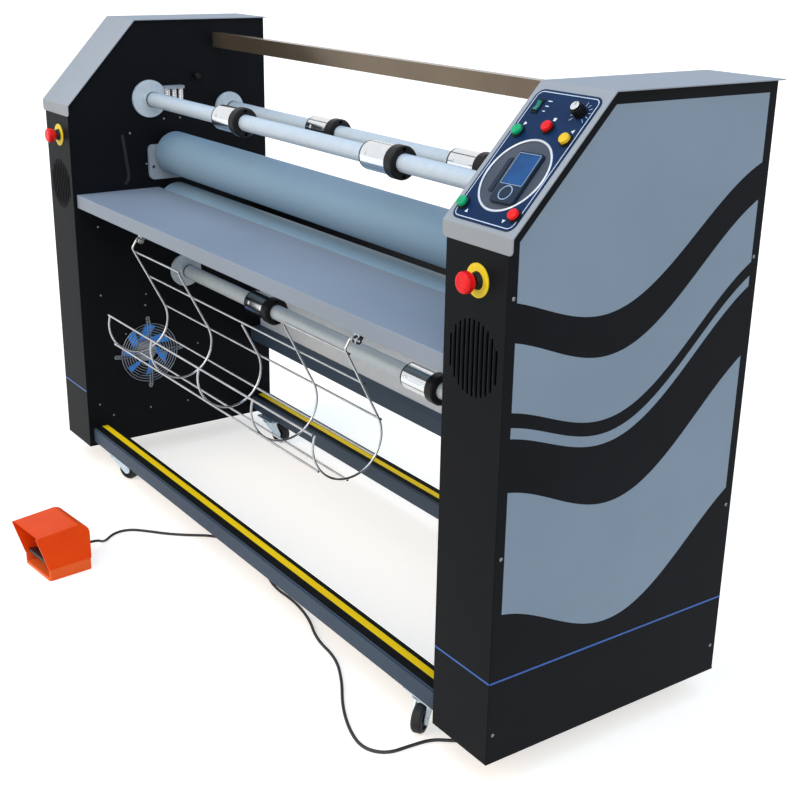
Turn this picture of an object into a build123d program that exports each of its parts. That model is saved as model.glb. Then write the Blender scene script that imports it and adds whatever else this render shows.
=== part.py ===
from build123d import *
import math
import os

os.makedirs("parts", exist_ok=True)

# A wide-format roll laminator on castors, with its foot switch.
# Millimetres. +X is the operator's right, +Y the exit side, +Z up.
# The origin is on the floor under the middle of the machine.

# Cabinets
inner_width = 1704.0
cabinet_width = 165.0
cabinet_depth = 609.0
floor_gap = 60.0
body_height = 1208.0
slope_rise = 218.0
slope_top_y = 203.5
side_plate_t = 10.0
cover_t = 2.0
base_plate_t = 4.0
cap_t = 2.0
cap_lip = 28.0
cap_side_overhang = 10.0
cap_rear_overhang = 6.0
bend_r = 1.8
cap_lip_corner_r = 9.0

# Wire basket, heights above the cabinet base and depths behind the cabinet front
basket_wire_r = 2.5
basket_rib_x = (-460.0, -210.0, 40.0, 290.0, 540.0)
basket_loop_r = 81.7
basket_loop_y = 4.0
basket_loop_z = 484.7
basket_lip_z = 512.0
basket_leg_y = -3.0
basket_leg_drop = 22.0
basket_hook_y = 10.0
basket_hook_drop = 12.0
basket_hook_reach = 36.0
basket_hook_r = 6.0
basket_top_rail_drop = 35.0
basket_mid_rail_drop = 103.0
basket_weld_offset = 4.0
basket_round_wire_angles = (20.0, -35.0, -90.0, -143.0, -199.0)
clip_eye_r = 7.0
clip_eye_t = 5.0
clip_eye_pitch = 15.0
clip_strap_t = 2.0
clip_side_clear = 1.0

# Control panel on the sloping front of the right cabinet
fascia_width = 160.0
fascia_length = 273.0
fascia_corner_r = 17.0
fascia_t = 1.5
fascia_start = 8.0
window_x = 2.0
window_s = 109.0
window_width = 136.0
window_height = 143.0
display_width = 58.0
display_length = 102.0
display_t = 8.0
display_corner_r = 6.0
display_edge_r = 2.0
display_x = 15.0
display_s = 103.0
display_turn = 2.0
display_screen_width = 50.0
display_screen_length = 60.0
display_screen_up = 15.5
display_recess = 1.0
display_pad_r = 14.5
display_pad_groove = 2.0
display_pad_down = 32.0

# Push buttons on the panel: across the panel, up the slope
button_places = {
    "forward_button": (-58.0, 190.0),
    "stop_button": (4.0, 206.5),
    "reverse_button": (61.0, 190.0),
    "roller_up_button": (-66.5, 36.5),
    "roller_down_button": (66.0, 37.0),
}
button_head_r = 10.0
button_head_h = 7.0
button_stem_r = 4.0
button_stem_depth = 12.0
button_dome_r = 3.0
button_travel = 2.0
button_float = 0.4
bezel_r = 12.0
bezel_h = 2.0
bezel_edge_r = 1.0
bezel_neck_r = 5.5
bezel_depth = 16.0
slide_clear = 0.3
rocker_x = -55.0
rocker_s = 245.0
rocker_width = 9.0
rocker_half_length = 9.5
rocker_pivot_depth = 2.0
rocker_end_h = 4.5
rocker_middle_h = 2.0
rocker_bottom = 7.0
rocker_pin_r = 1.5
rocker_pin_engage = 1.2
rocker_pin_float = 0.1
rocker_wall = 1.6
rocker_lip = 1.0
rocker_frame_h = 2.0
rocker_frame_depth = 12.0
knob_x = 51.0
knob_s = 245.0
knob_r = 12.0
knob_h = 17.0
knob_cap_r = 8.5
knob_cap_h = 3.0
knob_flutes = 12
knob_flute_r = 1.4
knob_flute_start = 2.0
knob_edge = 1.0
knob_shaft_r = 3.0
knob_bush_r = 5.0
knob_bush_h = 2.5
knob_pot_r = 12.0
knob_pot_depth = 14.0
knob_float = 0.5

# Emergency stops on both front faces
estop_below_fold = 85.0
estop_offset = {-1: -11.5, 1: 5.5}
estop_plate_r = 29.5
estop_plate_t = 2.0
estop_collar_low_r = 16.0
estop_collar_top_r = 13.0
estop_collar_h = 9.0
estop_neck_r = 11.0
estop_neck_depth = 30.0
estop_head_r = 19.0
estop_head_h = 19.0
estop_stem_r = 8.0
estop_travel = 5.0
estop_gap = 1.0
estop_rim_r = 6.0
estop_under_rim = 3.0
estop_under_h = 5.0

# Round cooling grilles in both front faces
grille_below_fold = 222.0
grille_r = 69.0
grille_slots = 11
grille_pitch = 12.4
grille_slot_w = 5.0

# Feed table and cross members
table_front_y = 11.0
table_rear_y = 258.0
table_above_roller = 46.0
table_lip = 36.0
table_return = 22.0
table_end_flange = 30.0
table_end_rear_y = 225.0
table_t = 2.0
top_beam_y = 455.5
top_beam_below_top = 57.0
top_beam_depth = 25.0
top_beam_height = 40.0
rear_beam_y = 568.5
rear_beam_z = 265.0
rear_beam_depth = 47.0
rear_beam_height = 40.0
tube_wall = 3.0
apron_top_z = 690.0
apron_t = 2.0
apron_y = 580.0
apron_return = 30.0
rail_front_y = 44.0
rail_rear_y = 575.0
rail_z = 14.0
rail_depth = 60.0
rail_height = 39.0
rail_tread_depth = 52.0
rail_tread_h = 4.0
rail_groove_w = 18.0
rail_groove_shift = 5.0
rail_groove_depth = 1.5

# Laminating rollers
roller_y = 302.0
lower_roller_z = 702.0
roller_r = 60.0
rubber_t = 8.0
roller_end_gap = 27.0
nip_open = 24.0
lift_up = 6.0
nip_closed_gap = 0.3
core_wall = 8.0
core_plug_flange = 4.0
core_plug_depth = 20.0
core_plug_clear = 0.2
journal_r = 20.0
journal_clear = 0.05
journal_hole_clear = 2.0
journal_beyond_plate = 40.0
roller_flange_r = 45.0
roller_flange_t = 9.0
roller_flange_hub_r = 28.0
roller_flange_hub_t = 5.0

# Lift block that carries each end of the top roller
block_half_depth = 74.0
block_table_gap = 0.8
block_up = 24.0
block_t = 12.0
block_corner_r = 14.0
block_hole_r = 5.0
block_hole_y = -62.0
block_hole_z = -38.0
boss_half_depth = 28.0
boss_half_height = 32.0
window_clear = 2.0
boss_edge = 2.0
block_float = 0.3
lift_rod_r = 8.0
lift_rod_engage = 40.0
actuator_size = 44.0
actuator_length = 190.0
actuator_gap = 4.0
actuator_corner_r = 5.0
rod_clear = 0.3

# Film shafts: depth, height and wall flange radius
shaft_tube_r = 20.0
shaft_ring_r = 20.8
shaft_ring_w = 5.0
shaft_collar_r = 17.0
shaft_collar_w = 16.0
shaft_journal_r = 12.0
shaft_journal_beyond = 6.0
shaft_hole_clear = 1.0
shaft_float = 0.5
flange_t = 8.0
flange_hub_r = 21.0
flange_hub_t = 4.0
shaft_places = {
    "front": (240.0, 997.5, 51.0),
    "rear": (489.0, 960.0, 44.0),
    "lower": (330.0, 495.0, 48.0),
}

# Core chucks that slide on the film shafts: left end of each, along X
chuck_places = {
    "front": (-415.0, 262.0),
    "rear": (-371.0, 242.0),
    "lower": (-434.0, 301.0),
}
chuck_sleeve_r = 31.5
chuck_sleeve_length = 98.0
chuck_rim_w = 5.0
chuck_rim_r = 31.0
chuck_disc_r = 36.0
chuck_disc_w = 26.0
chuck_edge = 1.5
chuck_bore_clear = 0.1
chuck_bolt_r = 4.5
chuck_bolt_pitch_r = 28.0
chuck_bolt_depth = 8.0
chuck_slot_w = 9.0
chuck_slot_length = 60.0
chuck_slot_depth = 2.5
chuck_slots = 3
chuck_slot_turn = 75.0

# Fan in the left side plate
fan_y = 201.0
fan_z = 260.0
fan_opening_r = 84.0
fan_frame_size = 184.0
fan_frame_depth = 38.0
fan_frame_corner_r = 12.0
fan_hub_r = 33.0
fan_hub_back = 6.0
fan_blades = 7
fan_blade_tip_clear = 3.0
fan_blade_t = 2.5
fan_blade_turn = 42.0
fan_blade_sweep = 30.0
fan_shaft_r = 4.0
fan_strut_w = 12.0
fan_strut_bite = 4.0
fan_seat_t = 4.0
fan_seat_gap = 1.0
fan_hub_edge_r = 4.0
fan_chord_share = 0.9
fan_root_bite = 3.0
fan_tip_inset = 4.0
fan_tip_turn = 22.0
fan_tip_share = 1.25
fan_shaft_length = 14.0
guard_wire_r = 1.5
guard_first_r = 33.0
guard_last_r = 88.0
guard_rings = 8
guard_weld_offset = 2.4
guard_bar_gap = 8.0
guard_stand_off = 5.0
guard_tab_r = 104.0
guard_tab_w = 12.0
guard_tab_t = 2.0
guard_tab_hole_r = 2.6

# Gearmotor on the right end of the lower roller
gearbox_size = 124.0
gearbox_depth = 62.0
gearbox_edge_r = 10.0
motor_r = 46.0
motor_length = 190.0
motor_ribs = 7
motor_rib_w = 5.0
motor_rib_depth = 3.0

# Castors under the rails: pivot x, pivot depth, trail direction in degrees
castor_places = {
    "front_left": (-735.0, 44.0, 25.0),
    "front_right": (772.0, 44.0, -57.0),
    "rear_left": (-745.0, 556.0, 20.0),
    "rear_right": (745.0, 556.0, 25.0),
}
castor_wheel_r = 30.0
castor_wheel_w = 22.0
castor_trail = 32.0
castor_axle_r = 4.0
castor_leg_t = 3.0
castor_leg_gap = 1.5
castor_bridge_r = 29.0
castor_bridge_t = 3.5
castor_wheel_clear = 2.5
castor_plate_length = 92.0
castor_plate_width = 60.0
castor_plate_t = 3.0
castor_plate_hole_r = 3.5
castor_plate_hole_inset = 9.0
castor_race_r = 19.0
castor_race_gap = 0.3
castor_king_r = 6.0
castor_king_clear = 0.1
castor_king_gap = 0.5
castor_plate_corner_r = 6.0
castor_leg_foot_r = 12.0
castor_leg_top_w = 50.0
castor_axle_proud = 1.5
castor_bore_r = 8.4
castor_web_half = 6.6
castor_rim_inner_r = 20.0
castor_rim_outer_r = 22.0
castor_tread_drop = 3.0
castor_tread_edge = 4.0

# Foot switch on the floor: centre, turn, and its own width, depth and height
foot_x = -289.5
foot_y = -318.0
foot_turn = 5.5
foot_width = 133.0
foot_depth = 113.0
foot_base_h = 30.0
foot_floor_t = 8.0
foot_wall = 4.0
foot_hood_reach = 28.0
foot_hood_front_h = 121.0
foot_hood_rear_h = 130.0
foot_hood_rear_r = 30.0
foot_corner_r = 6.0
treadle_pivot_v = 38.0
treadle_pivot_z = 20.0
treadle_length = 90.0
treadle_t = 7.0
treadle_side_clear = 1.0
treadle_rise = 11.0
treadle_pin_r = 3.0
treadle_pin_clear = 0.1
treadle_pin_engage = 2.0
treadle_heel = 8.0
treadle_corner_r = 5.0
treadle_ribs = 6
treadle_rib_h = 1.2
treadle_rib_share = 0.4
treadle_rib_inset = 8.0
foot_boss_r = 8.0
foot_boss_length = 12.0
foot_boss_edge = 2.0
foot_boss_z = 38.0

# Foot switch lead: across, behind the cabinet front, above the floor
cord_r = 3.5
cord_route = [
    (-296.0, -250.0, 38.0),
    (-299.7, -211.0, 38.0),
    (-343.0, -176.0, 3.6),
    (-380.0, -134.0, 3.6),
    (-380.0, -90.0, 3.6),
    (-341.0, -52.0, 3.6),
    (-300.0, -18.0, 3.6),
    (-262.0, 26.0, 3.6),
    (-222.0, 82.0, 3.6),
    (-158.0, 108.0, 3.6),
    (-72.0, 116.0, 3.6),
    (18.0, 98.0, 3.6),
    (108.0, 70.0, 3.6),
    (200.0, 76.0, 3.6),
    (290.0, 62.0, 3.6),
    (376.0, 28.0, 3.6),
    (468.0, 22.0, 3.6),
    (552.0, -16.0, 3.6),
    (634.0, -68.0, 3.6),
    (716.0, -103.0, 3.6),
    (780.0, -114.0, 3.6),
    (820.0, -84.0, 3.6),
    (824.0, -30.0, 3.6),
    (830.0, 16.0, 3.6),
    (854.0, 46.0, 3.6),
    (873.0, 58.0, 9.0),
    (882.0, 62.0, 20.0),
    (884.0, 63.0, 34.0),
]
cord_corner_share = 0.45
gland_flange_r = 11.0
gland_flange_t = 3.0
gland_hole_clear = 1.5
gland_bore_clear = 0.2
gland_tip_wall = 1.8
gland_root_wall = 3.5

# Places worked out from the sizes above
inner_x = inner_width / 2
outer_x = inner_x + cabinet_width
plate_back_x = inner_x + side_plate_t
cabinet_mid_x = inner_x + cabinet_width / 2
roller_half = inner_x - roller_end_gap
basket_reach = basket_loop_r + basket_wire_r + basket_weld_offset - basket_loop_y
front_y = -(cabinet_depth + cap_rear_overhang - basket_reach) / 2
front_face_height = body_height - slope_rise
slope_angle = math.atan2(slope_rise, slope_top_y)
estop_z = front_face_height - estop_below_fold
grille_z = front_face_height - grille_below_fold
top_beam_z = body_height - top_beam_below_top
table_top_z = lower_roller_z + table_above_roller
basket_hook_z = table_top_z - table_lip - basket_hook_drop
basket_leg_z = basket_hook_z - basket_leg_drop
basket_top_rail_z = basket_hook_z - basket_top_rail_drop
basket_mid_rail_z = basket_hook_z - basket_mid_rail_drop
top_roller_z = lower_roller_z + 2 * roller_r + nip_open
upper_travel = lift_up
lower_travel = nip_open - nip_closed_gap
block_down = top_roller_z - lower_travel - table_top_z - block_table_gap


def at_y(depth):
    """A depth behind the cabinet front, in the part's own Y."""
    return front_y + depth


def at_z(height):
    """A height above the cabinet base, in the part's own Z."""
    return floor_gap + height


def side_plane(x):
    """The upright plane across X at x, with its own x along Y and y along Z."""
    return Plane(origin=(x, 0, 0), x_dir=(0, 1, 0), z_dir=(1, 0, 0))


def across(sketch, x0, x1):
    """A side view sketch carried along X from x0 to x1."""
    return extrude(side_plane(x0) * sketch, amount=x1 - x0)


def rod_x(radius, x0, x1, y, z):
    """A round bar along X."""
    return across(Pos(y, z) * Circle(radius), x0, x1)


def block(x0, x1, y0, y1, z0, z1):
    """A rectangular body from its low and high corners."""
    size = Box(x1 - x0, y1 - y0, z1 - z0)
    return Pos((x0 + x1) / 2, (y0 + y1) / 2, (z0 + z1) / 2) * size


def turned(points, plane_location):
    """A turned piece: points of (along, radius) revolved about the location's own x."""
    profile = [(points[0][0], 0.0)] + list(points) + [(points[-1][0], 0.0)]
    face = make_face(Polyline(*profile, close=True))
    return plane_location * revolve(Plane.XZ * face, axis=Axis.X)


def both_sides(shape):
    """The shape and its mirror image in the other cabinet."""
    return Part() + [shape, mirror(shape, about=Plane.YZ)]


def box_tube(y, z, depth, height, wall):
    """A rectangular tube that spans the two side plates."""
    outer = Pos(at_y(y), at_z(z)) * Rectangle(depth, height)
    inner = Pos(at_y(y), at_z(z)) * Rectangle(depth - 2 * wall, height - 2 * wall)
    return across(outer - inner, -inner_x, inner_x)


def slope_plane(side):
    """The outside of the sloping cap: x across the cabinet, y up the slope from its fold."""
    normal = (0, -math.sin(slope_angle), math.cos(slope_angle))
    origin = (
        side * cabinet_mid_x,
        at_y(0) + normal[1] * cap_t,
        at_z(front_face_height) + normal[2] * cap_t,
    )
    return Plane(origin=origin, x_dir=(1, 0, 0), z_dir=normal)


panel = slope_plane(1)


def on_panel(x, s, height):
    """A place on the control panel: across, up the slope, and out from the sloping cap."""
    return panel * Pos(x, s, height)


def body_profile(base):
    """The cabinet's side view from base height up to the underside of the cap."""
    return make_face(
        Polyline(
            (at_y(0), at_z(base)),
            (at_y(0), at_z(front_face_height)),
            (at_y(slope_top_y), at_z(body_height)),
            (at_y(cabinet_depth), at_z(body_height)),
            (at_y(cabinet_depth), at_z(base)),
            close=True,
        )
    )


def panel_holes():
    """Everything that is drilled through the right cap and its fascia."""
    cuts = []
    for x, s in button_places.values():
        cuts.append(on_panel(x, s, 0) * Cylinder(bezel_neck_r, 4 * bezel_depth))
    cuts.append(on_panel(knob_x, knob_s, 0) * Cylinder(knob_bush_r, 4 * bezel_depth))
    cuts.append(on_panel(rocker_x, rocker_s, 0) * rocker_well(0, 4 * rocker_frame_depth))
    return cuts


def rocker_well(wall, height):
    """The rocker switch's body outline, grown by wall."""
    around = slide_clear + rocker_wall + wall
    width = rocker_width + 2 * around
    length = 2 * rocker_reach() + 2 * around
    return Box(width, length, height)


def rocker_reach():
    """How far the rocker's end corners swing from its pivot."""
    return math.hypot(rocker_half_length, rocker_end_h + rocker_pivot_depth)


def side_plate(side):
    """One laser-cut inner side plate with its bearing holes and lift window."""
    plate = across(body_profile(base_plate_t), inner_x, plate_back_x)
    hole = journal_r + journal_hole_clear
    cuts = [rod_x(hole, inner_x, plate_back_x, at_y(roller_y), at_z(lower_roller_z))]
    window_up = boss_half_height + upper_travel + window_clear
    window_down = boss_half_height + lower_travel + window_clear
    cuts.append(
        block(
            inner_x,
            plate_back_x,
            at_y(roller_y) - boss_half_depth - slide_clear,
            at_y(roller_y) + boss_half_depth + slide_clear,
            at_z(top_roller_z) - window_down,
            at_z(top_roller_z) + window_up,
        )
    )
    for y, z, _ in shaft_places.values():
        cuts.append(rod_x(shaft_journal_r + shaft_hole_clear, inner_x, plate_back_x, at_y(y), at_z(z)))
    if side < 0:
        cuts.append(rod_x(fan_opening_r, inner_x, plate_back_x, at_y(fan_y), at_z(fan_z)))
    plate = plate - cuts
    return plate if side > 0 else mirror(plate, about=Plane.YZ)


def cover(side):
    """One outer sheet cover: front, outside and rear wall, with grille and stop hole."""
    shell = across(body_profile(base_plate_t), plate_back_x, outer_x)
    shell = shell - block(
        plate_back_x,
        outer_x - cover_t,
        at_y(cover_t),
        at_y(cabinet_depth - cover_t),
        at_z(0),
        at_z(body_height),
    )
    front = Plane(origin=(cabinet_mid_x, at_y(0), 0), x_dir=(1, 0, 0), z_dir=(0, -1, 0))
    cuts = []
    for i in range(grille_slots):
        x = (i - (grille_slots - 1) / 2) * grille_pitch
        length = 2 * math.sqrt(grille_r**2 - x**2)
        slot = Pos(x, at_z(grille_z)) * Rot(0, 0, 90) * SlotOverall(length, grille_slot_w)
        cuts.append(extrude(front * slot, amount=-cover_t))
    stop = Pos(estop_offset[side], at_z(estop_z)) * Circle(estop_neck_r)
    cuts.append(extrude(front * stop, amount=-cover_t))
    bends = [e for e in shell.edges().filter_by(Axis.Z) if abs(e.center().X - outer_x) < 0.01]
    shell = fillet(bends, bend_r) - cuts
    return shell if side > 0 else mirror(shell, about=Plane.YZ)


def cap_profile():
    """The folded cap in side view: rear edge, top, slope and the front lip."""
    a = slope_angle
    top_fold = (-cap_t * math.tan(a / 2), cap_t)
    front_fold = (-cap_t, cap_t * math.cos(a) / (1 + math.sin(a)))
    return make_face(
        Polyline(
            (at_y(0), at_z(front_face_height - cap_lip)),
            (at_y(0), at_z(front_face_height)),
            (at_y(slope_top_y), at_z(body_height)),
            (at_y(cabinet_depth + cap_rear_overhang), at_z(body_height)),
            (at_y(cabinet_depth + cap_rear_overhang), at_z(body_height + cap_t)),
            (at_y(slope_top_y + top_fold[0]), at_z(body_height + top_fold[1])),
            (at_y(front_fold[0]), at_z(front_face_height + front_fold[1])),
            (at_y(-cap_t), at_z(front_face_height - cap_lip)),
            close=True,
        )
    )


def cap(side):
    """One folded cap; the right one is pierced for the controls."""
    sheet = across(cap_profile(), inner_x - cap_side_overhang, outer_x + cap_side_overhang)
    above_lip = [e for e in sheet.edges().filter_by(Axis.X) if e.center().Z > at_z(front_face_height)]
    front_fold = sorted(above_lip, key=lambda e: e.center().Y)[0]
    sheet = fillet([front_fold], bend_r)
    lip_corners = [
        e
        for e in sheet.edges().filter_by(Axis.Y)
        if abs(e.center().Z - at_z(front_face_height - cap_lip)) < 0.1
    ]
    sheet = fillet(lip_corners, cap_lip_corner_r)
    if side > 0:
        return sheet - panel_holes()
    return mirror(sheet, about=Plane.YZ)


def base_plate():
    """The plate a cabinet stands on, flush with its walls."""
    return block(inner_x, outer_x, at_y(0), at_y(cabinet_depth), at_z(0), at_z(base_plate_t))


def gland_hole():
    """The hole for the foot switch lead in the right base plate."""
    x, y, _ = cord_route[-1]
    return Pos(x, at_y(y), at_z(base_plate_t / 2)) * Cylinder(cord_r + gland_hole_clear, base_plate_t)


# Cabinet shells
export_step(side_plate(-1), "parts/left_side_plate.step")
export_step(side_plate(1), "parts/right_side_plate.step")
export_step(cover(-1), "parts/left_cover.step")
export_step(cover(1), "parts/right_cover.step")
export_step(Part() + [cap(-1), cap(1)], "parts/cabinet_caps.step")
right_base = base_plate() - gland_hole()
left_base = mirror(base_plate(), about=Plane.YZ)
export_step(Part() + [left_base, right_base], "parts/base_plates.step")


def fascia():
    """The blue overlay plate with its oval window and control holes."""
    middle = fascia_start + fascia_length / 2
    outline = Pos(0, middle) * RectangleRounded(fascia_width, fascia_length, fascia_corner_r)
    window = Pos(window_x, window_s) * Ellipse(window_width / 2, window_height / 2)
    plate = extrude(panel * (outline - window), amount=fascia_t)
    return plate - panel_holes()


def display_unit():
    """The hand-held style controller: rounded case, sunk screen and round key pad."""
    case = extrude(RectangleRounded(display_width, display_length, display_corner_r), display_t)
    case = fillet(case.faces().sort_by(Axis.Z)[-1].edges(), display_edge_r)
    screen = Box(display_screen_width, display_screen_length, 2 * display_recess)
    case = case - Pos(0, display_screen_up, display_t) * screen
    pad_r = display_pad_r - display_pad_groove
    ring = Cylinder(display_pad_r, 2 * display_recess) - Cylinder(pad_r, 2 * display_recess)
    case = case - Pos(0, -display_pad_down, display_t) * ring
    return on_panel(display_x, display_s, 0) * Rot(0, 0, display_turn) * case


def bezel(x, s):
    """A push button's fixed body: a ring on the fascia and a bored neck behind it."""
    ring = Pos(0, 0, fascia_t + bezel_h / 2) * Cylinder(bezel_r, bezel_h)
    ring = fillet(ring.faces().sort_by(Axis.Z)[-1].edges(), bezel_edge_r)
    neck = Pos(0, 0, (fascia_t - bezel_depth) / 2) * Cylinder(bezel_neck_r, fascia_t + bezel_depth)
    bore = Cylinder(button_stem_r + slide_clear, 4 * bezel_depth)
    return on_panel(x, s, 0) * (ring + neck - bore)


def rocker_frame():
    """The rocker switch's fixed body with the trunnion holes in its walls."""
    lip = Pos(0, 0, fascia_t + rocker_frame_h / 2) * rocker_well(rocker_lip, rocker_frame_h)
    well_h = fascia_t + rocker_frame_depth
    well = Pos(0, 0, fascia_t - well_h / 2) * rocker_well(0, well_h)
    width = rocker_width + 2 * slide_clear
    length = 2 * rocker_reach() + 2 * slide_clear
    hollow = Pos(0, 0, fascia_t + rocker_frame_h - rocker_frame_depth / 2) * Box(
        width, length, rocker_frame_depth
    )
    pins = Pos(0, 0, fascia_t - rocker_pivot_depth) * Rot(0, 90, 0) * Cylinder(
        rocker_pin_r + journal_clear, width + 2 * rocker_pin_engage
    )
    return on_panel(rocker_x, rocker_s, 0) * (lip + well - hollow - pins)


def knob_socket():
    """The speed control's threaded bush and the body behind the panel."""
    bush_h = fascia_t + knob_bush_h + knob_pot_depth
    bush = Pos(0, 0, fascia_t + knob_bush_h - bush_h / 2) * Cylinder(knob_bush_r, bush_h)
    pot = Pos(0, 0, -cap_t - knob_pot_depth / 2) * Cylinder(knob_pot_r, knob_pot_depth)
    bore = Cylinder(knob_shaft_r + journal_clear, 4 * knob_pot_depth)
    return on_panel(knob_x, knob_s, 0) * (bush + pot - bore)


export_step(fascia(), "parts/control_fascia.step")
export_step(display_unit(), "parts/display_unit.step")
bezels = [bezel(x, s) for x, s in button_places.values()]
export_step(Part() + bezels + [rocker_frame(), knob_socket()], "parts/switch_bezels.step")


def push_button(x, s):
    """A coloured button head on a stem that slides in its bezel."""
    under = fascia_t + bezel_h + button_travel + button_float
    head = Pos(0, 0, under + button_head_h / 2) * Cylinder(button_head_r, button_head_h)
    head = fillet(head.faces().sort_by(Axis.Z)[-1].edges(), button_dome_r)
    stem_h = under + button_stem_depth
    stem = Pos(0, 0, under - stem_h / 2) * Cylinder(button_stem_r, stem_h)
    return on_panel(x, s, 0) * (head + stem)


for name, (x, s) in button_places.items():
    export_step(push_button(x, s), f"parts/{name}.step")


def rocker():
    """The rocker: two sloping faces, arc ends about its pivot and two trunnions."""
    outline = make_face(
        Polyline(
            (-rocker_half_length, rocker_end_h),
            (0, rocker_middle_h),
            (rocker_half_length, rocker_end_h),
            (rocker_half_length, -rocker_bottom),
            (-rocker_half_length, -rocker_bottom),
            close=True,
        )
    )
    swing = Pos(0, -rocker_pivot_depth) * Circle(rocker_reach())
    body = extrude(side_plane(-rocker_width / 2) * (outline & swing), amount=rocker_width)
    pin_length = rocker_width + 2 * (slide_clear + rocker_pin_engage - rocker_pin_float)
    pin = Pos(0, 0, -rocker_pivot_depth) * Rot(0, 90, 0) * Cylinder(rocker_pin_r, pin_length)
    return on_panel(rocker_x, rocker_s, fascia_t) * (body + pin)


def speed_knob():
    """A fluted knob with a raised cap, on a shaft in the bush."""
    low = fascia_t + knob_float
    bush_room = knob_bush_h + knob_float
    body = Pos(0, 0, low + knob_h / 2) * Cylinder(knob_r, knob_h)
    body = chamfer(body.faces().sort_by(Axis.Z)[-1].edges(), knob_edge)
    flute_z = low + knob_h / 2 + knob_flute_start
    for i in range(knob_flutes):
        angle = math.radians(360 * i / knob_flutes)
        where = Pos(knob_r * math.cos(angle), knob_r * math.sin(angle), flute_z)
        body = body - where * Cylinder(knob_flute_r, knob_h)
    body = body - Pos(0, 0, low) * Cylinder(knob_bush_r + knob_float, 2 * bush_room)
    top = Pos(0, 0, low + knob_h + knob_cap_h / 2) * Cylinder(knob_cap_r, knob_cap_h)
    shaft_h = knob_h + knob_pot_depth
    shaft = Pos(0, 0, low + knob_h - knob_edge - shaft_h / 2) * Cylinder(knob_shaft_r, shaft_h)
    return on_panel(knob_x, knob_s, 0) * (body + top + shaft)


export_step(rocker(), "parts/rocker_switch.step")
export_step(speed_knob(), "parts/speed_knob.step")


def estop_location(side):
    """Out from a cabinet's front face at its emergency stop, with own x towards the operator."""
    x = side * (cabinet_mid_x + estop_offset[side])
    return Pos(x, at_y(0), at_z(estop_z)) * Rot(0, 0, -90)


def estop_base(side):
    """The round plate, the tapered collar and the bored neck through the cover."""
    front = estop_plate_t + estop_collar_h
    profile = [
        (-estop_neck_depth, estop_neck_r),
        (0, estop_neck_r),
        (0, estop_plate_r),
        (estop_plate_t, estop_plate_r),
        (estop_plate_t, estop_collar_low_r),
        (front, estop_collar_top_r),
    ]
    piece = turned(profile, estop_location(side))
    bore_r = estop_stem_r + slide_clear
    bore = [(-estop_neck_depth, bore_r), (front, bore_r)]
    return piece - turned(bore, estop_location(side))


def estop_button(side):
    """A red mushroom head with a rounded rim and its stem."""
    back = estop_plate_t + estop_collar_h + estop_travel + estop_gap
    front = back + estop_head_h
    widest = back + estop_under_h
    profile = [(back, estop_head_r - estop_under_rim), (widest, estop_head_r), (front, estop_head_r)]
    head = turned(profile, Pos(0, 0, 0))
    head = fillet(head.faces().sort_by(Axis.X)[-1].edges(), estop_rim_r)
    stem = turned([(-estop_neck_depth / 2, estop_stem_r), (widest, estop_stem_r)], Pos(0, 0, 0))
    return estop_location(side) * (head + stem)


export_step(Part() + [estop_base(-1), estop_base(1)], "parts/estop_bases.step")
export_step(estop_button(-1), "parts/left_estop_button.step")
export_step(estop_button(1), "parts/right_estop_button.step")


def feed_table():
    """The folded feed table: top, front lip with its return, and a flange at each end."""
    y0 = at_y(table_front_y)
    y1 = at_y(table_rear_y)
    z1 = at_z(table_top_z)
    z0 = z1 - table_lip
    outline = make_face(
        Polyline(
            (y0, z0),
            (y0, z1),
            (y1, z1),
            (y1, z1 - table_t),
            (y0 + table_t, z1 - table_t),
            (y0 + table_t, z0 + table_t),
            (y0 + table_return, z0 + table_t),
            (y0 + table_return, z0),
            close=True,
        )
    )
    sheet = across(outline, -inner_x, inner_x)
    top_edges = [e for e in sheet.edges().filter_by(Axis.X) if abs(e.center().Z - z1) < 0.01]
    sheet = fillet(top_edges, bend_r)
    under = z1 - table_t
    flange_y0 = y0 + table_return
    flange_y1 = at_y(table_end_rear_y)
    flange = block(inner_x - table_t, inner_x, flange_y0, flange_y1, under - table_end_flange, under)
    return sheet + flange + mirror(flange, about=Plane.YZ)


def rear_apron():
    """The rear sheet that stands on the rear beam, folded forwards at its top."""
    y0 = at_y(apron_y)
    z0 = at_z(rear_beam_z + rear_beam_height / 2)
    z1 = at_z(apron_top_z)
    outline = make_face(
        Polyline(
            (y0, z0),
            (y0, z1 - apron_t),
            (y0 - apron_return, z1 - apron_t),
            (y0 - apron_return, z1),
            (y0 + apron_t, z1),
            (y0 + apron_t, z0),
            close=True,
        )
    )
    return across(outline, -inner_x, inner_x)


def floor_rail(y, groove_y):
    """A floor rail: a box tube and the grooved tread that lies on it."""
    tube = box_tube(y, rail_z + rail_height / 2, rail_depth, rail_height, tube_wall)
    low = at_z(rail_z + rail_height)
    top = low + rail_tread_h
    tread_half = rail_tread_depth / 2
    groove_half = rail_groove_w / 2
    tread = block(-inner_x, inner_x, at_y(y) - tread_half, at_y(y) + tread_half, low, top)
    groove_floor = top - rail_groove_depth
    groove_low = at_y(groove_y) - groove_half
    groove = block(-inner_x, inner_x, groove_low, groove_low + rail_groove_w, groove_floor, top)
    return [tube, tread - groove]


export_step(feed_table(), "parts/feed_table.step")
top_beam = box_tube(top_beam_y, top_beam_z, top_beam_depth, top_beam_height, tube_wall)
export_step(top_beam, "parts/top_beam.step")
rear_beam = box_tube(rear_beam_y, rear_beam_z, rear_beam_depth, rear_beam_height, tube_wall)
export_step(rear_beam, "parts/rear_beam.step")
export_step(rear_apron(), "parts/rear_apron.step")
front_rail = floor_rail(rail_front_y, rail_front_y + rail_groove_shift)
rails = front_rail + floor_rail(rail_rear_y, rail_rear_y)
export_step(Compound(children=[s for r in rails for s in r.solids()]), "parts/floor_rails.step")


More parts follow.
